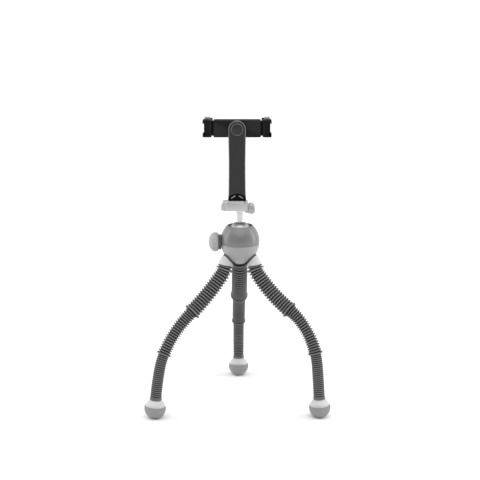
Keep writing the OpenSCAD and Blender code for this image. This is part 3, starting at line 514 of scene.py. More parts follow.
LOOKS = {
    "hub": material("pale_plastic", grey(0xC8), 0.38, grain=0.25),
    "bowl": material("bowl_plastic", grey(0x9E), 0.36),
    "dome": material("dome_plastic", grey(0x74), 0.3, grain=0.2, rough_spread=0.01, specular=0.7),
    "knob": material("knob_plastic", grey(0xA6), 0.4),
    "black": material("arm_plastic", grey(0x22), 0.32, grain=0.12, mottle=0.04, rough_spread=0.02,
        specular=0.35, edge_highlight=0.3),
    # Light grey for the arm's front bevel and the pivot cap's ring: a painted highlight.
    "edge": material("arm_painted_highlight", grey(0x60), 0.3, grain=0.1, mottle=0.08),
    "clamp": material("clamp_plastic", grey(0x0C), 0.42, grain=0.15, rough_spread=0.02, specular=0.16,
        edge_highlight=0.3, mottle=0.05),
    "cap": material("cap_plastic", grey(0x12), 0.24, grain=0.15, mottle=0.05),
    # Rib and grip rubber: the second tone darkens the grooves as painted shade.
    "rib": rubber("rib_rubber", grey(0x72), grey(0x1C)),
    "grip": rubber("grip_rubber", grey(0x66), grey(0x2A)),
    "foot": material("foot_rubber", grey(0x90), 0.6, grain=0.6, grain_size=0.4, mottle=0.04, specular=0.35),
    "pad": material("pad_rubber", grey(0xB4), 0.6, grain=0.5, grain_size=0.4, mottle=0.03, specular=0.35),
    # Dark grey sheets that stand for shade: in the dish round the ball and in the gap under the bowl.
    "dish": material("dish_painted_shade", grey(0x50), 0.5, mottle=0.04),
    "plate": material("plate_paint", grey(0xBE), 0.34, coat=0.2, edge_highlight=0.3),
    # Light grey arcs on the black foot: a painted highlight.
    "leaf": material("leaf_painted_highlight", grey(0x92), 0.12, grain=0.1, mottle=0.03, coat=0.6),
    "metal": material("clamp_paint", grey(0xA8), 0.36, coat=0.15, edge_highlight=0.3),
    "chrome": material("polished_steel", grey(0xC4), 0.12, metallic=1.0, mottle=0.01, rough_spread=0.03,
        grain=0),
    "ball": material("ball_steel", grey(0xA6), 0.33, metallic=1.0, mottle=0.01, rough_spread=0.03, grain=0),
    # Near black for the face at the arm's foot: painted shade.
    "pocket": material("foot_face_painted_shade", grey(0x0A), 0.7, grain=0.2, mottle=0.06, specular=0.1),
    # Dark grey for the pale hub's web under the bowl: painted shade.
    "web": material("hub_web_painted_shade", grey(0x30), 0.6, specular=0.25, mottle=0.05),
    "steel": material("zinc_steel", grey(0xC4), 0.3, metallic=1.0, mottle=0.06, streak=6),
    "brass": material("brass", (0.62, 0.42, 0.16), 0.25, metallic=1.0, grain=0.2, mottle=0.06),
    "nylon": material("nylon", grey(0xDA, 0.02), 0.45, grain=0.2, mottle=0.03),
}


# Legs

# The ribs of a stretch. A rib named in wide has its own crest radius and a thickness share.
Ribs = namedtuple("Ribs", "part pitch first_r last_r bore_r depth fin_share wide")
BEND_BORE_R, STIFF_BORE_R = 4.8, 1.7
LEG_RIBS = [
    Ribs("root", 3.9, 9.9, 10.6, BEND_BORE_R, 2.3, 0.48, {1: (11.6, 1.35)}),
    Ribs("upper", 3.9, 10.6, 10.6, STIFF_BORE_R, 2.3, 0.48, {-1: (11.8, 1.3)}),
    Ribs("knee", 3.4, 8.8, 8.8, BEND_BORE_R, 2.2, 0.46, {}),
    Ribs("middle", 3.4, 8.8, 8.8, STIFF_BORE_R, 2.2, 0.46, {-1: (9.7, 1.3)}),
    Ribs("ankle", 2.7, 7.6, 7.5, BEND_BORE_R, 1.2, 0.52, {}),
    Ribs("lower", 2.7, 7.5, 7.5, STIFF_BORE_R, 1.2, 0.54, {}),
]
BLEND_INSET, COLLAR_CREST = 2.6, 0.85


def on_leg(leg, s):
    """The matrix, in millimetres, whose +Z runs down the leg at a distance s from the socket."""
    r, z, slope = pose_at(BENDS[leg], s, MOUTH)
    turn = Matrix.Rotation(radians(AZIMUTH[leg]), 4, "Z")
    return turn @ Matrix.Translation((r, 0, z)) @ Matrix.Rotation(radians(180 - slope), 4, "Y")


def point_on_leg(leg, s):
    return tuple(on_leg(leg, s).translation * MM)


def rib_shape(half, tip):
    """Places along the leg, shares of the height and crest marks, from foot over tip to foot."""
    side = [(1.22, 0, 0), (1.06, 0.07, 0), (1.0, 0.3, 0.1), (1.0, 1 - tip, 0.55),
            (0.9, 1 - 0.5 * tip, 0.85), (0.64, 1 - 0.2 * tip, 1), (0.34, 1 - 0.05 * tip, 1)]
    rise = [(-half * w, h, mark) for w, h, mark in side]
    return rise + [(0, 1, 1)] + [(-ds, h, mark) for ds, h, mark in reversed(rise)]


def ribbed(name, leg, s0, s1, ribs):
    """A ribbed hose: thin fins with round tips over a flat groove, and a bore."""
    count = round((s1 - s0) / ribs.pitch)
    step = (s1 - s0) / count
    growth = ribs.last_r - ribs.first_r
    rings = [(s0, ribs.first_r - ribs.depth, 0.0)]
    for i in range(count):
        share = (i + 0.5) / count
        crest = ribs.first_r + growth * share
        floor = crest - ribs.depth
        top, thick = ribs.wide.get(i if i in ribs.wide else i - count, (crest, 1))
        middle = s0 + (i + 0.5) * step
        half = ribs.fin_share * thick * step / 2
        tall = top - floor
        shape = rib_shape(half, min(0.6, half / tall))
        rings += [(middle + ds, floor + tall * h, mark) for ds, h, mark in shape]
        rings.append((middle + step / 2, ribs.first_r + growth * (i + 1) / count - ribs.depth, 0.0))
    rings += [(s, ribs.bore_r, 0.0) for s in spaced(s1, s0, 10)]
    bm = bmesh.new()
    # The crest marks darken the grooves as painted shade.
    layer = bm.verts.layers.float.new("crest")
    loops = []
    for s, r, mark in rings:
        at = on_leg(leg, s)
        loop = [bm.verts.new(at @ Vector((x, y, 0))) for x, y in circle(r, RIB_SIDES)]
        for vert in loop:
            vert[layer] = mark
        loops.append(loop)
    skin(bm, loops, closed=True)
    return finish_mesh(name, bm, SOFT_CRISP)


def leg_sleeve(leg):
    """Six stretches of ribs, of which every second one is stiff."""
    bodies = ["base", f"{leg}_upper", f"{leg}_middle", f"{leg}_lower"]
    for i, ribs in enumerate(LEG_RIBS):
        bends = i % 2 == 0
        slip = SLIP if bends else 0
        before, body = bodies[i // 2], bodies[i // 2 + 1]
        s0, s1 = STARTS[i] + slip, STARTS[i + 1] - slip
        obj = ribbed(f"{leg}_{ribs.part}_ribs", leg, s0, s1, ribs)
        dress(obj, "rib")
        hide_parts(f"{leg}_{ribs.part}_sleeve")
        if bends:
            start, end = point_on_leg(leg, s0 + BLEND_INSET), point_on_leg(leg, s1 - BLEND_INSET)
            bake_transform(obj)
        else:
            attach(obj, body)


def foot_collar(leg, at):
    """The grey ring between the last rib and the cap."""
    r, top = CAP_TOP_R, COLLAR_H + 0.1
    ring = [(r - 0.35, 0.05), (r + 0.3, 0.05), (r + 0.55, 0.3), (r + 0.6, 1.1), (r + 0.5, 1.9),
            (r - 0.1, top), (r - 0.35, top)]
    collar = lathe(f"{leg}_end_collar", ring, CAP_SIDES, at, closed=True)
    mark_crest(collar, lambda co: COLLAR_CREST)
    piece(collar, f"{leg}_lower", "rib", "rib_rubber")


def foot_cap(leg):
    """The light cone over the pad, bored for the leg's rod, with a spigot in the pad."""
    at = on_leg(leg, END_S) @ Matrix.Translation((0, 0, SLIP))
    foot_collar(leg, at)
    top, wide, skirt = CAP_TOP_R - 0.4, CAP_R - 0.4 - CAP_TOP_R, CAP_H - COLLAR_H - 0.2
    profile = [(ROD_R, ROD_DEPTH), (ROD_R, 0.25), (2.0, 0), (top - 0.2, 0), (top, 0.2), (top, COLLAR_H)]
    for share in spaced(0, 1, 14):
        flare = sin(pi / 2 * share) ** 0.85
        profile.append((top + 0.1 + wide * flare, COLLAR_H + skirt * share))
    end = CAP_H + SPIGOT_H
    profile += [(CAP_R - 0.9, CAP_H), (SPIGOT_R, CAP_H), (SPIGOT_R, end - 0.4), (SPIGOT_R - 0.4, end),
                (0, end), (0, ROD_DEPTH)]
    obj = lathe(f"{leg}_cap_moulding", profile, CAP_SIDES, at, closed=True)
    piece(obj, f"{leg}_lower", "hub", "pale_plastic", f"{leg}_foot_cap")


def foot_pad(leg):
    """The round rubber pad, flat where it stands on the floor."""
    top, centre = CAP_H + SLIP, CAP_H + PAD_SINK
    seam, room = sqrt(PAD_R ** 2 - (centre - top) ** 2), top + SPIGOT_H + GAP
    profile = [(SPIGOT_R + FIT, room), (SPIGOT_R + FIT, top), (seam - 1.1, top),
               (seam - 0.55, top + 0.03), (seam - 0.2, top + 0.2), (seam - 0.02, top + 0.55)]
    for a in spaced(asin((centre - top - 0.75) / PAD_R), -pi / 2, 44):
        profile.append((max(0, PAD_R * cos(a)), centre - PAD_R * sin(a)))
    profile.append((0, room))
    obj = lathe(f"{leg}_pad_moulding", profile, TURNED_SIDES, on_leg(leg, END_S), closed=True)
    for v in obj.data.vertices:
        v.co.z = max(v.co.z, 0)
    piece(obj, f"{leg}_lower", "foot", "foot_rubber", f"{leg}_foot_pad")


for leg in AZIMUTH:
    leg_sleeve(leg)
    foot_cap(leg)
    foot_pad(leg)
    for part in ("upper", "middle", "lower"):
        dress(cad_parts[f"{leg}_{part}_link"], "steel")


# Ball housing

# Heights of the dark sheet of painted shade and of its gap, and how far both ends stand out from the bowl
SHADE_LINER_SPAN, SHADE_LINER_GROW, SHADE_LINER_SKIN = (-27.5, -14.0), (3.65, 2.1), (0.06, 0.06)
GAP_SPAN, GAP_GROW = (-27.0, -13.5), (3.6, 2.0)


def egg_r(z):
    """The housing's radius at a height over its centre."""
    rise = HOUSING_RISE if z > 0 else LOW_RISE
    return HOUSING_R * sqrt(max(0, 1 - (z / rise) ** 2))


def cavity(low, high):
    """Points of the ball's round room between two heights over its centre."""
    return [(sqrt(CAVITY_R ** 2 - z * z), BALL_Z + z) for z in spaced(low, high, 12)[1:-1]]


def dish_shade_liner():
    """A dark lining in the dished rim round the ball, as painted shade."""
    edge, floor = egg_r(RIM_RISE), RIM_Z - RIM_DISH
    profile = [(edge - 0.46, RIM_Z + 0.02), (edge - 0.82, floor + 0.25), (edge - 1.2, floor + 0.16),
               (OPENING_R + 0.3, floor + 0.06), (OPENING_R + 0.05, floor - 0.05),
               (edge - 0.78, floor - 0.05), (edge - 0.42, RIM_Z - 0.1)]
    lining = lathe("dish_painted_shade", profile, HOUSING_SIDES, closed=True)
    piece(lining, "base", "dish", "dome_plastic")


def dome():
    """The housing's upper half, with the ball's opening in its dished rim."""
    low, high = SEAM_Z - HEAD_Z, RIM_RISE
    profile = [(SEAM_R, SEAM_Z), (egg_r(low) - 0.45, SEAM_Z)]
    profile += [(egg_r(z), HEAD_Z + z) for z in spaced(low + 0.3, high - 1.1, 40)]
    edge, floor = egg_r(high), RIM_Z - RIM_DISH
    profile += [(edge + 0.28, RIM_Z - 0.62), (edge + 0.06, RIM_Z - 0.22), (edge - 0.2, RIM_Z - 0.03),
                (edge - 0.5, RIM_Z - 0.02), (edge - 0.8, floor), (OPENING_R, floor - 0.1)]
    lip = RIM_Z - BALL_Z - LIP_DROP
    for radius in (BALL_R + GAP, CAVITY_R):
        profile.append((sqrt(max(0, radius ** 2 - lip ** 2)), BALL_Z + lip))
    profile += cavity(lip, SEAM_Z - BALL_Z)
    obj = lathe("housing_dome", profile, HOUSING_SIDES, closed=True)
    drill(obj, *KNOB_HOLE)
    piece(obj, "base", "dome", "dome_plastic", "dome")


def bowl():
    high = SEAM_Z - HEAD_Z
    profile = [(0, BALL_Z - CAVITY_R), *cavity(-CAVITY_R, SEAM_Z - BALL_Z), (SEAM_R, SEAM_Z),
               (egg_r(high) - 0.45, SEAM_Z), (egg_r(high) - 0.12, SEAM_Z - 0.12)]
    for t in spaced(asin((high - 0.4) / LOW_RISE), -pi / 2, 40):
        profile.append((max(0, HOUSING_R * cos(t)), HEAD_Z + LOW_RISE * sin(t)))
    obj = lathe("housing_bowl", profile, HOUSING_SIDES)
    drill(obj, *KNOB_HOLE)
    piece(obj, "base", "bowl", "bowl_plastic", "bowl")


def socket_lobe(azimuth, grow=0.0):
    """A leg's socket: a round mouth that narrows upwards to a blunt top."""
    turn = Matrix.Rotation(radians(azimuth), 4, "Z")
    lean = Matrix.Rotation(radians(-SOCKET_SLOPE), 4, "Y")
    at = turn @ Matrix.Translation((MOUTH[0], 0, MOUTH[1])) @ lean
    radius, length = SOCKET_R + grow, SOCKET_LEN + grow
    profile = [(0, -grow), (radius - 0.5, -grow), (radius - 0.12, 0.15), (radius, 0.55)]
    for a in spaced(0, pi / 2, 16)[1:]:
        t = 1 - cos(a)
        profile.append((radius * (1 - t ** 1.5) ** (1 / 1.5), max(0.6, length * t)))
    return lathe("lobe", profile, CAP_SIDES, at)


def bowl_shell(grow, span):
    """A line that follows the bowl and stands out from it by grow."""
    pairs = zip(spaced(*grow, 24), spaced(*span, 24))
    return [(egg_r(z) + out, HEAD_Z + z - 0.4 * out) for out, z in pairs]


def hub_shade_liner():
    """A dark sheet that fills the gap between the bowl and each socket, as painted shade."""
    outer = bowl_shell(SHADE_LINER_GROW, SHADE_LINER_SPAN)
    inner = bowl_shell(SHADE_LINER_SKIN, SHADE_LINER_SPAN)
    parts = []
    for azimuth in AZIMUTH.values():
        part = socket_lobe(azimuth, 0.2)
        shell = lathe("shell", outer + inner[::-1], HOUSING_SIDES, closed=True)
        combine(part, shell, "INTERSECT")
        parts.append(part)
    obj = join(*parts)
    obj.name = "hub_shade_liner"
    piece(obj, "base", "dish", "black_plastic")


def root_joint(leg):
    """The stub and cup that hold the first ball of the leg."""
    at, mouth = on_leg(leg, ROOT_S), on_leg(leg, 0).translation
    run = at.translation - mouth
    stub = cylinder("stub", STUB_R, -1, run.length, run, mouth, LINK_SIDES)
    profile = [(0, -CUP_R), *arc(CUP_R, range(-80, 8, 8)), (CUP_R - 0.05, 0.52),
               (LINK_BALL_R - 0.05, 0.52), *arc(LINK_BALL_R, range(0, -89, -11)), (0, -LINK_BALL_R)]
    return stub, lathe("cup", profile, LINK_SIDES, at)


def hub():
    """The three pale sockets and the web under the bowl, coloured dark as painted shade."""
    foot = HEAD_Z - HOUSING_RISE - 0.5
    web = cylinder("hub_web_painted_shade", BOSS_R, foot, foot + SPOKE_H, sides=CAP_SIDES)
    lobes = []
    for azimuth in AZIMUTH.values():
        plan = rectangle(0, MOUTH[0] - 2, -SPOKE_W / 2, SPOKE_W / 2)
        spoke = prism("spoke", plan, foot, foot + SPOKE_H, "XY")
        spoke.data.transform(Matrix.Rotation(radians(azimuth), 4, "Z"))
        add(web, spoke)
        lobes.append(socket_lobe(azimuth))
    obj = join(*lobes)
    obj.name = "leg_sockets"
    room = [(0, HEAD_Z - LOW_RISE - GAP)]
    for t in spaced(-pi / 2, 0, 32)[1:]:
        room.append(((HOUSING_R + GAP) * cos(t), HEAD_Z + (LOW_RISE + GAP) * sin(t)))
    room.append((0, HEAD_Z))
    for part in (web, obj):
        combine(part, lathe("room", room, HOUSING_SIDES))
    gap = bowl_shell(GAP_GROW, GAP_SPAN)
    combine(obj, lathe("gap", [(0, gap[0][1]), *gap, (0, gap[-1][1])], HOUSING_SIDES))
    drill(web, STUD_BORE_R, foot - 2, foot + 9, sides=BORE_SIDES)
    # The web takes the dark grey as painted shade.
    piece(web, "base", "web", "pale_plastic")
    bevel(obj, 0.45, 3, 38)
    for leg in AZIMUTH:
        join(obj, *root_joint(leg))
    piece(obj, "base", "hub", "pale_plastic", "leg_hub")


def ball_and_stem():
    """The ball, its stem and the flange and stud that hold the clamp."""
    profile = [(0, BALL_Z - BALL_R)]
    for t in spaced(-pi / 2, pi / 2 - asin(NECK_R / BALL_R), 60)[1:]:
        profile.append((BALL_R * cos(t), BALL_Z + BALL_R * sin(t)))
    r, neck = profile[-1]
    for a in spaced(0, pi / 2, 6)[1:]:
        profile.append((STEM_R + (r - STEM_R) * (1 - sin(a)), neck + 1.3 * (1 - cos(a))))
    under, top = CLAMP_Z - FLANGE_H, CLAMP_Z
    profile += [(STEM_R, under - 0.5), (STEM_R + 0.12, under - 0.15), (STEM_R + 0.35, under),
                (FLANGE_R - 0.3, under), (FLANGE_R - 0.08, under + 0.08), (FLANGE_R, under + 0.3),
                (FLANGE_R, top - 0.3), (FLANGE_R - 0.08, top - 0.08), (FLANGE_R - 0.3, top),
                (BOLT_HOLE_R, top), (BOLT_HOLE_R, top + 4.5), (0, top + 4.5)]
    obj = lathe("ball_with_stem", profile, TURNED_SIDES)
    piece(obj, "ball", "chrome", "polished_steel", "ball_stem")
    paint(obj, "ball", lambda centre, normal: centre.z / MM < neck)


def knob_profile(start):
    """The knob from its bore over the tapered back to the domed front."""
    back = KNOB_R - KNOB_TAPER
    profile = [(SCREW_R, start), (back - 0.4, start)]
    for a in spaced(0, pi / 2, 8):
        out = start + 0.15 + (TAPER_LEN - 0.15) * (1 - cos(a))
        profile.append((KNOB_R - KNOB_TAPER * (1 - sin(a)), out))
    crown = 0.62 * KNOB_LEN
    for a in spaced(0, pi / 2, 22):
        profile.append((KNOB_R * cos(a), start + KNOB_LEN - crown + crown * sin(a)))
    return profile + [(0, start + KNOB_BORE), (SCREW_R, start + KNOB_BORE)]


def flute(obj, start):
    """Presses shallow flutes into the knob's side."""
    rim, fade_share, flute_share = 0.8, 0.12, 0.012
    for v in obj.data.vertices:
        share = hypot(v.co.x, v.co.y) / MM / KNOB_R
        if share > rim and v.co.z / MM - start > 0.3:
            wave = (0.5 + 0.5 * cos(FLUTES * atan2(v.co.y, v.co.x))) ** 2
            pull = 1 - flute_share * min(1, (share - rim) / fade_share) * wave
            v.co.x *= pull
            v.co.y *= pull


def knob():
    """The lock knob and the dark grip ring behind it, its grooves darkened as painted shade."""
    out = along(LEFT, KNOB_AT)
    grip_x = HOUSING_R + 0.6 * GAP
    start = grip_x + GRIP_LEN
    obj = lathe("knob_cap", knob_profile(start), TURNED_SIDES, closed=True)
    flute(obj, start)
    obj.data.transform(Matrix.Scale(MM, 4) @ out @ Matrix.Scale(1 / MM, 4))
    piece(obj, "lock_knob", "knob", "light_plastic", "lock_knob")
    r, low = GRIP_R, GRIP_R - 0.45
    ring = [(SCREW_R + FIT, start), (SCREW_R + FIT, grip_x + 0.02), (4.0, grip_x),
            (r - 0.3, grip_x - 0.93), (r, grip_x - 0.85)]
    for k in range(GRIP_TEETH):
        base = grip_x - 0.6 + k
        ring += [(r, base), (r - 0.05, base + 0.55), (low, base + 0.65), (low, base + 0.9),
                 (r - 0.05, base + 1)]
    ring.append((r - 0.05, start))
    grip = lathe("knob_collar", ring, TURNED_SIDES, out, closed=True)
    axis_z = KNOB_AT[2] * MM
    # The crest marks darken the grip's grooves as painted shade.
    mark_crest(grip, lambda co: max(0, min(1, (hypot(co.y, co.z - axis_z) / MM - low) / 0.4)))
    piece(grip, "lock_knob", "grip", "rib_rubber", "knob_grip")


dome()
dish_shade_liner()
bowl()
hub()
hub_shade_liner()
ball_and_stem()
knob()


# Quick-release clamp

SPRING_SLOT_W, SPRING_SLOT_DEPTH = 3.4, 3.8


def release_nose(half, high):
    """The rounded end left of the fixed jaw."""
    x0, x1 = BASE_X0 - NOSE_W, BASE_X0 + 2.5
    side = [(x0 + 0.25, CLAMP_Z + 0.6), (x1, CLAMP_Z + 0.6), (x1, high - 0.3),
            (BASE_X0 - 0.6, high - 0.3), (x0 + 0.9, high - 3.4), (x0, CLAMP_Z + 4.0)]
    nose = wedge("nose", rounded(side, [0.8, 0, 0, 1.2, 2.5, 2.5], 6), -half + 0.5, half - 0.5)
    plan = rounded(rectangle(x0, BASE_X0 + 4, 0.5 - half, half - 0.5), [3.4, 0, 0, 3.4], 8)
    combine(nose, prism("plan", plan, CLAMP_Z - OVER, high + OVER, "XY"), "INTERSECT")
    return nose


def release_ear():
    outline = [(BASE_X1 - 3, PIN_Z - EAR_R), (PIN_X + EAR_R, PIN_Z - EAR_R), (PIN_X + EAR_R, PIN_Z + 2.4),
               (PIN_X - 2, PIN_Z + 2.4), (PIN_X - 3.4, FLOOR_Z), (BASE_X1 - 3, FLOOR_Z)]
    return wedge("ear", rounded(outline, [0, 3.2, 2.4, 0.6, 0.3, 0], 8), -EAR_W / 2, EAR_W / 2)


def release_base():
    """The floor with the fixed jaw, the front wall, the nose and the ear."""
    half, high = CLAMP_DEPTH / 2, JAW_TOP
    plan = rounded(rectangle(BASE_X0, BASE_X1, -half, half), [3.0, 0.3, 3.0, 3.0], 8)
    obj = prism("release_base", plan, CLAMP_Z, high, "XY")
    fixed, over = PLATE_X0 - SLIP, high + 2 * OVER
    slant = DOVETAIL / (JAW_TOP - PLATE_Z)
    room = [(fixed, FLOOR_Z), (FAR, FLOOR_Z), (FAR, over), (fixed + slant * (over - PLATE_Z), over),
            (fixed, PLATE_Z)]
    combine(obj, wedge("room", room, FRONT_T - half, half + OVER))
    top = [(fixed + 0.6, WALL_Z), (FAR, WALL_Z), (FAR, over), (fixed + 1.2, over)]
    combine(obj, wedge("top", top, -half - OVER, FRONT_T - half + 0.01))
    for y0, y1 in ((-half - OVER, -EAR_W / 2), (EAR_W / 2, half + OVER)):
        carve(obj, (MOVING_X1 - SLIP, y0, CLAMP_Z - OVER), (FAR, y1, over))
    add(obj, release_ear())
    add(obj, release_nose(half, high))
    bevel(obj, 0.5, 3, 35)
    drill(obj, BOLT_HOLE_R, CLAMP_Z - OVER, CLAMP_Z + 4.6)
    drill(obj, PIN_R, -half, half, BACK, PIN_AT)
    wide = SPRING_SLOT_W / 2
    for y in (-CLAMP_DEPTH / 4, CLAMP_DEPTH / 4):
        low = (PLATE_X1 - 5.7, y - wide, FLOOR_Z - SPRING_SLOT_DEPTH)
        carve(obj, low, (BASE_X1 + OVER, y + wide, FLOOR_Z + OVER))
    piece(obj, "ball", "metal", "clamp_metal", "qr_base")


def release_jaw():
    """The moving jaw, with two lugs that the springs bear on."""
    x0 = PLATE_X1 + SLIP
    outline = [(x0, PLATE_Z), (MOVING_X1, PLATE_Z), (MOVING_X1, JAW_TOP), (x0 - DOVETAIL, JAW_TOP)]
    obj = wedge("release_jaw", outline, PLATE_Y0, CLAMP_DEPTH / 2, [0, 0.3, 1.2, 0.3], 0.3)
    wide = SPRING_SLOT_W / 2 - SLIP
    for y in (-CLAMP_DEPTH / 4, CLAMP_DEPTH / 4):
        low = (x0 + FIT, y - wide, FLOOR_Z - SPRING_SLOT_DEPTH + SLIP)
        add(obj, block("lug", low, (x0 + 1.6, y + wide, PLATE_Z + 0.4)))
    piece(obj, "qr_jaw", "metal", "clamp_metal", "qr_jaw")


def release_plate():
    """The plate in the clamp, bored for the screw that holds the arm."""
    outline = [(PLATE_X0, PLATE_Z), (PLATE_X1, PLATE_Z), (PLATE_X1 - DOVETAIL, PLATE_TOP),
               (PLATE_X0 + DOVETAIL, PLATE_TOP)]
    obj = wedge("release_plate", outline, PLATE_Y0, CLAMP_DEPTH / 2, 0.35, 0.3)
    low = PLATE_Z - OVER
    drill(obj, BOLT_HOLE_R, low, PLATE_TOP + OVER, UP, BOLT_AT)
    drill(obj, BOLT_HEAD_R, low, PLATE_Z + BOLT_HEAD_H, UP, BOLT_AT, BORE_SIDES)
    piece(obj, "ball", "plate", "clamp_metal", "qr_plate")


def release_lever():
    """The lever: a cam head with two cheeks, and a tail under the clamp."""
    low, tail_end = CLAMP_Z - GAP, FLANGE_R + 2 * FIT + OVER
    x, z, r, t = PIN_X, PIN_Z, CAM_R, TAIL_T
    face = x - r - CAM_THROW + 0.1
    outline = [(face, z + 0.6), (face + 1.1, z + 2.2), (x - CAM_THROW + 0.4, z + 2.5),
               (x + 0.6 * r, z + 1.7), (x + 1.02 * r, z - 0.4 * r), (x + 1.05 * r, low - 0.2 * t),
               (x + 0.72 * r, low - 0.8 * t), (x, low - t), (x - r, low - 0.85 * t),
               (tail_end, low - 0.45 * t), (tail_end, low - 0.05 * t),
               (MOVING_X1 + 0.2, low - 0.05 * t), (face, z - 1.8)]
    corners = [1.2, 1.4, 2, 2, 2.5, 2, 1.6, 2, 6, 0.5, 0.3, 0.8, 1.0]
    side = LEVER_W / 2
    obj = wedge("release_lever", outline, -side, side, corners, 0.8)
    cheek = EAR_W / 2 + GAP
    carve(obj, (tail_end - 2, -cheek, low), (x + 12, cheek, z + 12))
    groove = [(x - 5, z - 2.2), (x + 2.0, z - 2.2), (x + 2.9, z - 0.4), (x + 0.6, z + 1.3), (x - 5, z + 1.3)]
    combine(obj, wedge("groove", groove, -side - OVER, 0.7 - side, 0.9))
    drill(obj, PIN_R + FIT, 1.8 - side, side - 1.8, BACK, PIN_AT)
    piece(obj, "qr_lever", "metal", "light_plastic", "qr_lever")


release_base()
release_jaw()
release_plate()
release_lever()


# Upright arm and its pivot

def arm_half(z):
    """Half of the arm's width at a height over the foot: a slight waist, and a flare at the foot."""
    share = z / ARM_H
    waist = 0.45 * sin(pi * min(1, share * 1.05)) ** 2
    flare = (FOOT_W - ARM_W) / 2 * max(0, 1 - z / (1.6 * FOOT_H)) ** 1.6
    return ARM_W / 2 - waist + flare


def arm_heel():
    """The foot's block behind the arm, which the plate's screw goes into."""
    y0, y1, z0 = ARM_Y1 - OVER, ARM_Y0 + FOOT_LEN, PLATE_TOP
    side = [(y0, z0), (y1, z0), (y1, z0 + 4.2), (ARM_Y1 + 3.4, z0 + FOOT_H), (y0, z0 + FOOT_H)]
    half = FOOT_W / 2 - 0.3
    outline = rounded(side, [0, 0.8, 1.6, 3, 0])
    return prism("heel", outline, -ARM_SHIFT - half, -ARM_SHIFT + half, "YZ", 0.7)


def upright_arm():
    """The arm with its heel, its pivot's boss and the seats of both screws."""
    radius = ARM_W / 2
    right = [(arm_half(z), z) for z in spaced(0, ARM_H, 40)]
    turns = spaced(0, pi, 48)[1:-1]
    top = [(radius * cos(t), ARM_H + radius * sin(t)) for t in turns]
    left = [(-x, z) for x, z in reversed(right)]
    outline = [(x - ARM_SHIFT, z + PLATE_TOP) for x, z in right + top + left]
    obj = wedge("upright_arm", outline, ARM_Y0, ARM_Y1, 0, 1.2)
    add(obj, arm_heel())
    behind = BAR_Y0 - SLIP - ARM_Y0
    add(obj, cylinder("boss", PIVOT_BOSS_R, ARM_T - 0.5, behind, BACK, PIVOT_AT, TURNED_SIDES))
    seat, bore, deep = PIVOT_CAP_R + SLIP, PIVOT_SCREW_R + FIT, CAP_RECESS + PIVOT_HEAD_H
    room = [(0, -OVER), (seat, -OVER), (seat, CAP_RECESS), (PIVOT_HEAD_R, CAP_RECESS),
            (PIVOT_HEAD_R, deep), (bore, deep), (bore, 20), (0, 20)]
    combine(obj, lathe("room", room, SEAT_SIDES, along(BACK, PIVOT_AT)))
    drill(obj, BOLT_R, PLATE_TOP - OVER, PLATE_TOP + 6.2, UP, BOLT_AT)
    close(obj)
    piece(obj, "ball", "black", "black_plastic", "mount_arm")

    # The front bevel's faces take the light grey edge look as a painted highlight.
    def lit_edge(centre, normal):
        front = centre.y < 2.5 * MM and 0.1 < -normal.y < 0.99
        return front and centre.z > (PLATE_TOP + 4) * MM

    paint(obj, "edge", lit_edge)


def arm_foot_face():
    """The dark arched face at the arm's foot: a thin sheet coloured near black as painted shade."""
    half = FOOT_W / 2 - 0.7
    arch = [(-half, 0.7)]
    for share in spaced(0, 1, 24):
        x = -half + 0.2 + (FOOT_W - 1.8) * share
        arch.append((x, 5.6 + 4.2 * sin(pi * share) ** 0.8))
    arch.append((half, 0.7))
    outline = rounded([(x - ARM_SHIFT, z + PLATE_TOP) for x, z in arch], 0.5, 3)
    face = wedge("foot_face", outline, ARM_Y0 - 0.18, ARM_Y0 + 0.3, 0, 0.12)
    # The sheet takes the near black as painted shade.
    piece(face, "ball", "pocket", "black_plastic")


def foot_leaf(name, side):
    """A raised glossy arc on the foot's face, slim at both ends, coloured light grey as a painted highlight.
    """
    bm = bmesh.new()
    rows = []
    for share in spaced(0, 1, 14):
        x, z = side * (1.9 + 6.5 * share) - ARM_SHIFT, PLATE_TOP + 6.9 - 3.6 * share ** 1.25
        half = 0.75 * sin(pi * share) ** 0.8 + 0.05
        section = [(half, -0.1), (0.3 * half, -0.55), (-half, -0.68), (-half, 0.1)]
        rows.append([bm.verts.new((x, ARM_Y0 + y, z + h)) for h, y in section])
    skin(bm, rows)
    bm.faces.new(rows[0])
    bm.faces.new(rows[-1])
    piece(finish_mesh(name, bm, SOFT_CRISP), "ball", "leaf", "black_plastic")


def pivot_cap():
    """The bare cap over the pivot's screw, with a raised ring at its edge."""
    r, face = PIVOT_CAP_R, CAP_PROUD
    profile = [(0, -CAP_RECESS), (r - 0.2, -CAP_RECESS), (r, 0.2 - CAP_RECESS), (r, face - 0.35),
               (r - 0.12, face - 0.1), (r - 0.4, face), (r - 0.75, face - 0.04), (r - 1.0, face - 0.3),
               (r - 1.3, face - 0.42), (r - 2.2, face - 0.38), (r * 0.3, face - 0.2), (0, face - 0.18)]
    obj = lathe("cap_disc", profile, TURNED_SIDES, along(FRONT, PIVOT_AT), 60)
    piece(obj, "ball", "cap", "clamp_plastic", "pivot_cap")

    # The raised ring's faces take the light grey edge look as a painted highlight.
    def highlight_ring(centre, normal):
        off = centre / MM - Vector(PIVOT_AT)
        return r - 1.0 < hypot(off.x, off.z) < r - 0.2 and normal.y < 0

    paint(obj, "edge", highlight_ring)


upright_arm()
arm_foot_face()
foot_leaf("foot_leaf_left", -1)
foot_leaf("foot_leaf_right", 1)
pivot_cap()


# Phone clamp, drawn round the pivot and then moved to it

AT_PIVOT = Matrix.Translation(Vector((-ARM_SHIFT, 0, PIVOT_Z)) * MM)
TO_SIDE = {"left": AT_PIVOT @ Matrix.Rotation(pi, 4, "Y"), "right": AT_PIVOT}
BAR_SIDE = rectangle(-BAR_LEN / 2, BAR_LEN / 2, -BAR_H / 2, BAR_H / 2)


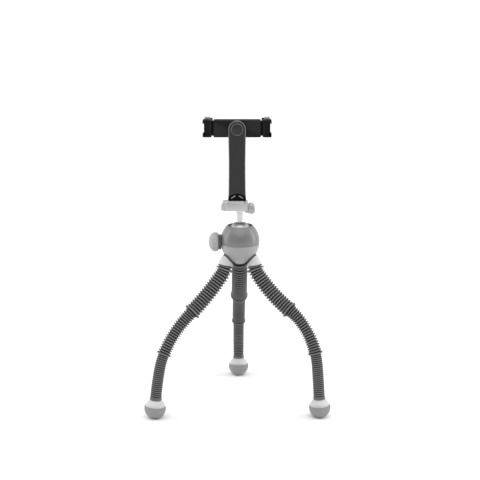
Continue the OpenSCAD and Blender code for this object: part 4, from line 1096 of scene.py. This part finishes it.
def front_bar():
    """The bar behind the arm, hollow at the back where the jaws' tongues run."""
    obj = wedge("front_bar", BAR_SIDE, BAR_Y0, BAR_Y1, 1.0, 0.5)
    wide, high = BAR_LEN / 2 + OVER, TRACK_H / 2 + GAP
    carve(obj, (-wide, TRACK_Y0 - 0.5 * GAP, -high), (wide, BAR_Y1 + OVER, high))
    drill(obj, PIVOT_SCREW_R + FIT, BAR_Y0 - OVER, BAR_Y1 + OVER, BACK, sides=BORE_SIDES)
    obj.data.transform(AT_PIVOT)
    piece(obj, "clamp", "clamp", "clamp_plastic", "clamp_bar")


def cover_screw(name, x):
    r = COVER_SCREW_R
    profile = [(0, -1.25), (r, -1.25), (r, -0.5), (r - 0.3, -0.25), (r / 2, -0.2), (1.0, -0.9), (0, -1.0)]
    screw = lathe(name, profile, HOLE_SIDES, along(BACK, (x, BACK_Y, 0)))
    screw.data.transform(AT_PIVOT)
    piece(screw, "clamp", "steel", "steel")


def rear_cover():
    obj = wedge("rear_cover", BAR_SIDE, BAR_Y1 + 0.02, BACK_Y, 1.0, 0.5)
    drill(obj, PIVOT_SCREW_R + FIT, BAR_Y1 - OVER, BAR_Y1 + 2.1, BACK)
    for name, x in (("left", -COVER_SCREW_X), ("right", COVER_SCREW_X)):
        drill(obj, COVER_SEAT_R, BACK_Y - 1.3, BACK_Y + OVER, BACK, (x, 0, 0))
        cover_screw(f"cover_screw_{name}", x)
    obj.data.transform(AT_PIVOT)
    piece(obj, "clamp", "clamp", "clamp_plastic", "clamp_cover")


def rack():
    """The toothed edge of a jaw's tongue."""
    pitch = pi * GEAR_MODULE
    pressure = tan(radians(25))
    addendum, dedendum, backlash = 0.75 * GEAR_MODULE, 0.95 * GEAR_MODULE, 0.25
    line, foot = -5.0 * GEAR_MODULE, -TRACK_H / 2
    root, tip = line - dedendum, line + addendum
    at_root = (pitch / 2 - backlash) / 2 + dedendum * pressure
    at_tip = (pitch / 2 - backlash) / 2 - addendum * pressure
    start = BLOCK_X0 - TONGUE_LEN + 0.5
    points = [(start, foot), (start, root)]
    for i in reversed(range(RACK_TEETH)):
        x = (i - (RACK_TEETH - 1) / 2 + 0.5) * pitch
        points += [(x + at_root, root), (x + at_tip, tip), (x - at_tip, tip), (x - at_root, root)]
    return points + [(-RACK_END, root), (-RACK_END, foot)]


def jaw_tongue():
    """The flat tongue that runs in the bar, with two grooves along its front."""
    start, z1 = BLOCK_X0 - TONGUE_LEN, TRACK_H / 2
    tongue = block("tongue", (start, TRACK_Y0, -z1), (BLOCK_X0 + 2, TRACK_Y0 + TRACK_T, z1), 0.2)
    for z in (-6.6, 6.6):
        low = (start - OVER, TRACK_Y0 - OVER, z - 1.3)
        carve(tongue, low, (BLOCK_X0 - 0.2, TRACK_Y0 + 1.6, z + 1.3))
    return tongue


def jaw_claw(high):
    """The hook that runs outside the jaw's rubber and over its end."""
    x0, x1, lip = PHONE_X + RUBBER_T, CLAW_X1, PHONE_X - LIP_REACH
    y0, y1 = BACK_Y - 2, CLAW_Y1 + RUBBER_T
    plan = [(x0, y0), (x1, y0), (x1, y1), (lip, y1), (lip, CLAW_Y1), (x0, CLAW_Y1)]
    return prism("claw", rounded(plan, [0, 0, 2.4, 1.0, 0.6, 0.5]), -high, high, "XY", 0.5)


def jaw(side):
    """A jaw: its block with the cold shoe, the claw, the tongue and its rack."""
    high, shoe = BAR_H / 2, BLOCK_X1 - SHOE_LIP
    ends = rectangle(BLOCK_X0, BLOCK_X1, -high, high)
    obj = wedge(f"jaw_block_{side}", ends, BAR_Y0, BACK_Y, 0.9, 0.6)
    y0, half, mouth = BAR_Y0 - OVER, SHOE_W / 2, SHOE_MOUTH / 2
    carve(obj, (shoe - SHOE_T, y0, -half), (shoe, BACK_Y - SHOE_STOP, half))
    carve(obj, (shoe - 0.1, y0, -mouth), (BLOCK_X1 + OVER, BACK_Y + OVER, mouth))
    add(obj, jaw_claw(high))
    add(obj, jaw_tongue())
    add(obj, prism("rack", rack(), TRACK_Y0, TRACK_Y0 + TRACK_T))
    obj.data.transform(TO_SIDE[side])
    piece(obj, f"jaw_{side}", "clamp", "clamp_plastic", f"jaw_{side}")


def jaw_pad(side):
    """The rubber in a jaw: a grooved face with a lump over and under it."""
    high, y0, y1, weld = BAR_H / 2, BACK_Y + GAP, CLAW_Y1 - OVER, 0.03
    plan = rounded(rectangle(PHONE_X, PHONE_X + RUBBER_T, y0, y1), 0.4, 3)
    obj = prism(f"jaw_rubber_{side}", plan, -high - 0.8, high + 0.8, "XY", 0.2)
    plan = rounded(rectangle(PHONE_X - weld, CLAW_X1, y0 - weld, y1 + weld), [0.5, 2, 2, 0.5])
    for low in (-high - LUMP, high):
        add(obj, prism("lump", plan, low, low + LUMP, "XY", 0.75, 4))
    for z in range(-10, 11, 2):
        carve(obj, (PHONE_X - OVER, y0 + 0.8, z - 0.35), (PHONE_X + 0.45, y1 - 0.8, z + 0.35))
    obj.data.transform(TO_SIDE[side])
    piece(obj, f"jaw_{side}", "pad", "pad_rubber", f"pad_{side}")


front_bar()
rear_cover()
for side in TO_SIDE:
    jaw(side)
    jaw_pad(side)

# Inner pieces whose CAD shape stays
INNER = {
    "cap": ["friction_ring"],
    "nylon": ["ball_seat", "pinion"],
    "steel": ["knob_screw", "lever_pin", "jaw_springs", "plate_screw", "pivot_screw"],
    "brass": ["pressure_pin"],
}
for look, names in INNER.items():
    for name in names:
        dress(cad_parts[name], look)


# Stage, light and camera, in metres

FRONT_LIGHT, BACK_LIGHT, TURN_RANGE = 0.1, 1.25, (-0.95, 0.15)
OVERHEAD = (((0, -0.42, 0.91), 2.2), ((0, 0.75, 0.66), 0.4))
OVERHEAD_RANGE = (0.72, 0.96)
STRIP_X, STRIP_Y, STRIP_Z, STRIP_W, STRIP_H, STRIP_TARGET = 1.5, 0.12, 0.6, 0.35, 1.4, (0, 0, 0.25)
RIGHT_POWER, LEFT_POWER = 5.5, 3.5
FLOOR_HALF, FLOOR_TONE = 60, 0.96
CAMERA_AT, CAMERA_PITCH = (0, -1.6115, 0.5803), 12.4
PHOTO_PX, FOCAL_PX, SHIFT_PX, SENSOR_W = 480, 1247.9, 0.5, 36


def world_light():
    """Bright to the sides, behind and overhead, darker round the camera, as at a product table."""
    world = bpy.data.worlds.new("studio")
    SCENE.world = world
    world.use_nodes = True
    tree = world.node_tree
    toward = add_node(tree, "TexCoord", {}).outputs["Generated"]
    depth = add_node(tree, "SeparateXYZ", {"Vector": toward}).outputs["Y"]
    light = ranged(tree, depth, TURN_RANGE, (FRONT_LIGHT, BACK_LIGHT), "SMOOTHSTEP")
    for axis, strength in OVERHEAD:
        cosine = add_node(tree, "VectorMath", {0: toward, 1: axis}, operation="DOT_PRODUCT").outputs["Value"]
        share = ranged(tree, cosine, OVERHEAD_RANGE, (0, 1), "SMOOTHSTEP")
        light = mixed(tree, share, light, strength, "FLOAT")
    rays = add_node(tree, "LightPath", {}).outputs
    direct = {0: rays["Is Camera Ray"], 1: rays["Is Transmission Ray"]}
    seen = add_node(tree, "Math", direct, operation="MAXIMUM").outputs[0]
    back = tree.nodes["Background"]
    feed(tree, back, "Strength", mixed(tree, seen, light, 1, "FLOAT"))
    feed(tree, back, "Color", (1, 1, 1, 1))


def side_strip(name, x, power):
    data = bpy.data.lights.new(name, "AREA")
    data.shape, data.size, data.size_y, data.energy = "RECTANGLE", STRIP_W, STRIP_H, power
    obj = placed(name, data)
    obj.location = (x, STRIP_Y, STRIP_Z)
    obj.rotation_mode = "QUATERNION"
    aim = Vector(STRIP_TARGET) - Vector(obj.location)
    obj.rotation_quaternion = aim.to_track_quat("-Z", "Y")


def floor():
    bm = bmesh.new()
    half = FLOOR_HALF / MM
    bm.faces.new([bm.verts.new((x, y, 0)) for x, y in rectangle(-half, half, -half, half)])
    obj = finish_mesh("floor", bm)
    mat = bpy.data.materials.new("floor")
    mat.use_nodes = True
    chalk = {"Base Color": (*[FLOOR_TONE] * 3, 1), "Roughness": 1, "Specular IOR Level": 0}
    for key, value in chalk.items():
        feed(mat.node_tree, mat.node_tree.nodes["Principled BSDF"], key, value)
    obj.data.materials.append(mat)


def camera():
    data = bpy.data.cameras.new("camera")
    data.sensor_width, data.lens = SENSOR_W, FOCAL_PX / PHOTO_PX * SENSOR_W
    data.shift_y = SHIFT_PX / PHOTO_PX
    data.clip_start, data.clip_end = 0.05, 100
    obj = placed("camera", data)
    obj.location = CAMERA_AT
    obj.rotation_euler = (radians(90 - CAMERA_PITCH), 0, 0)
    SCENE.camera = obj


world_light()
side_strip("right_strip", STRIP_X, RIGHT_POWER)
side_strip("left_strip", -STRIP_X, LEFT_POWER)
floor()
camera()
SCENE.view_settings.view_transform = "Standard"
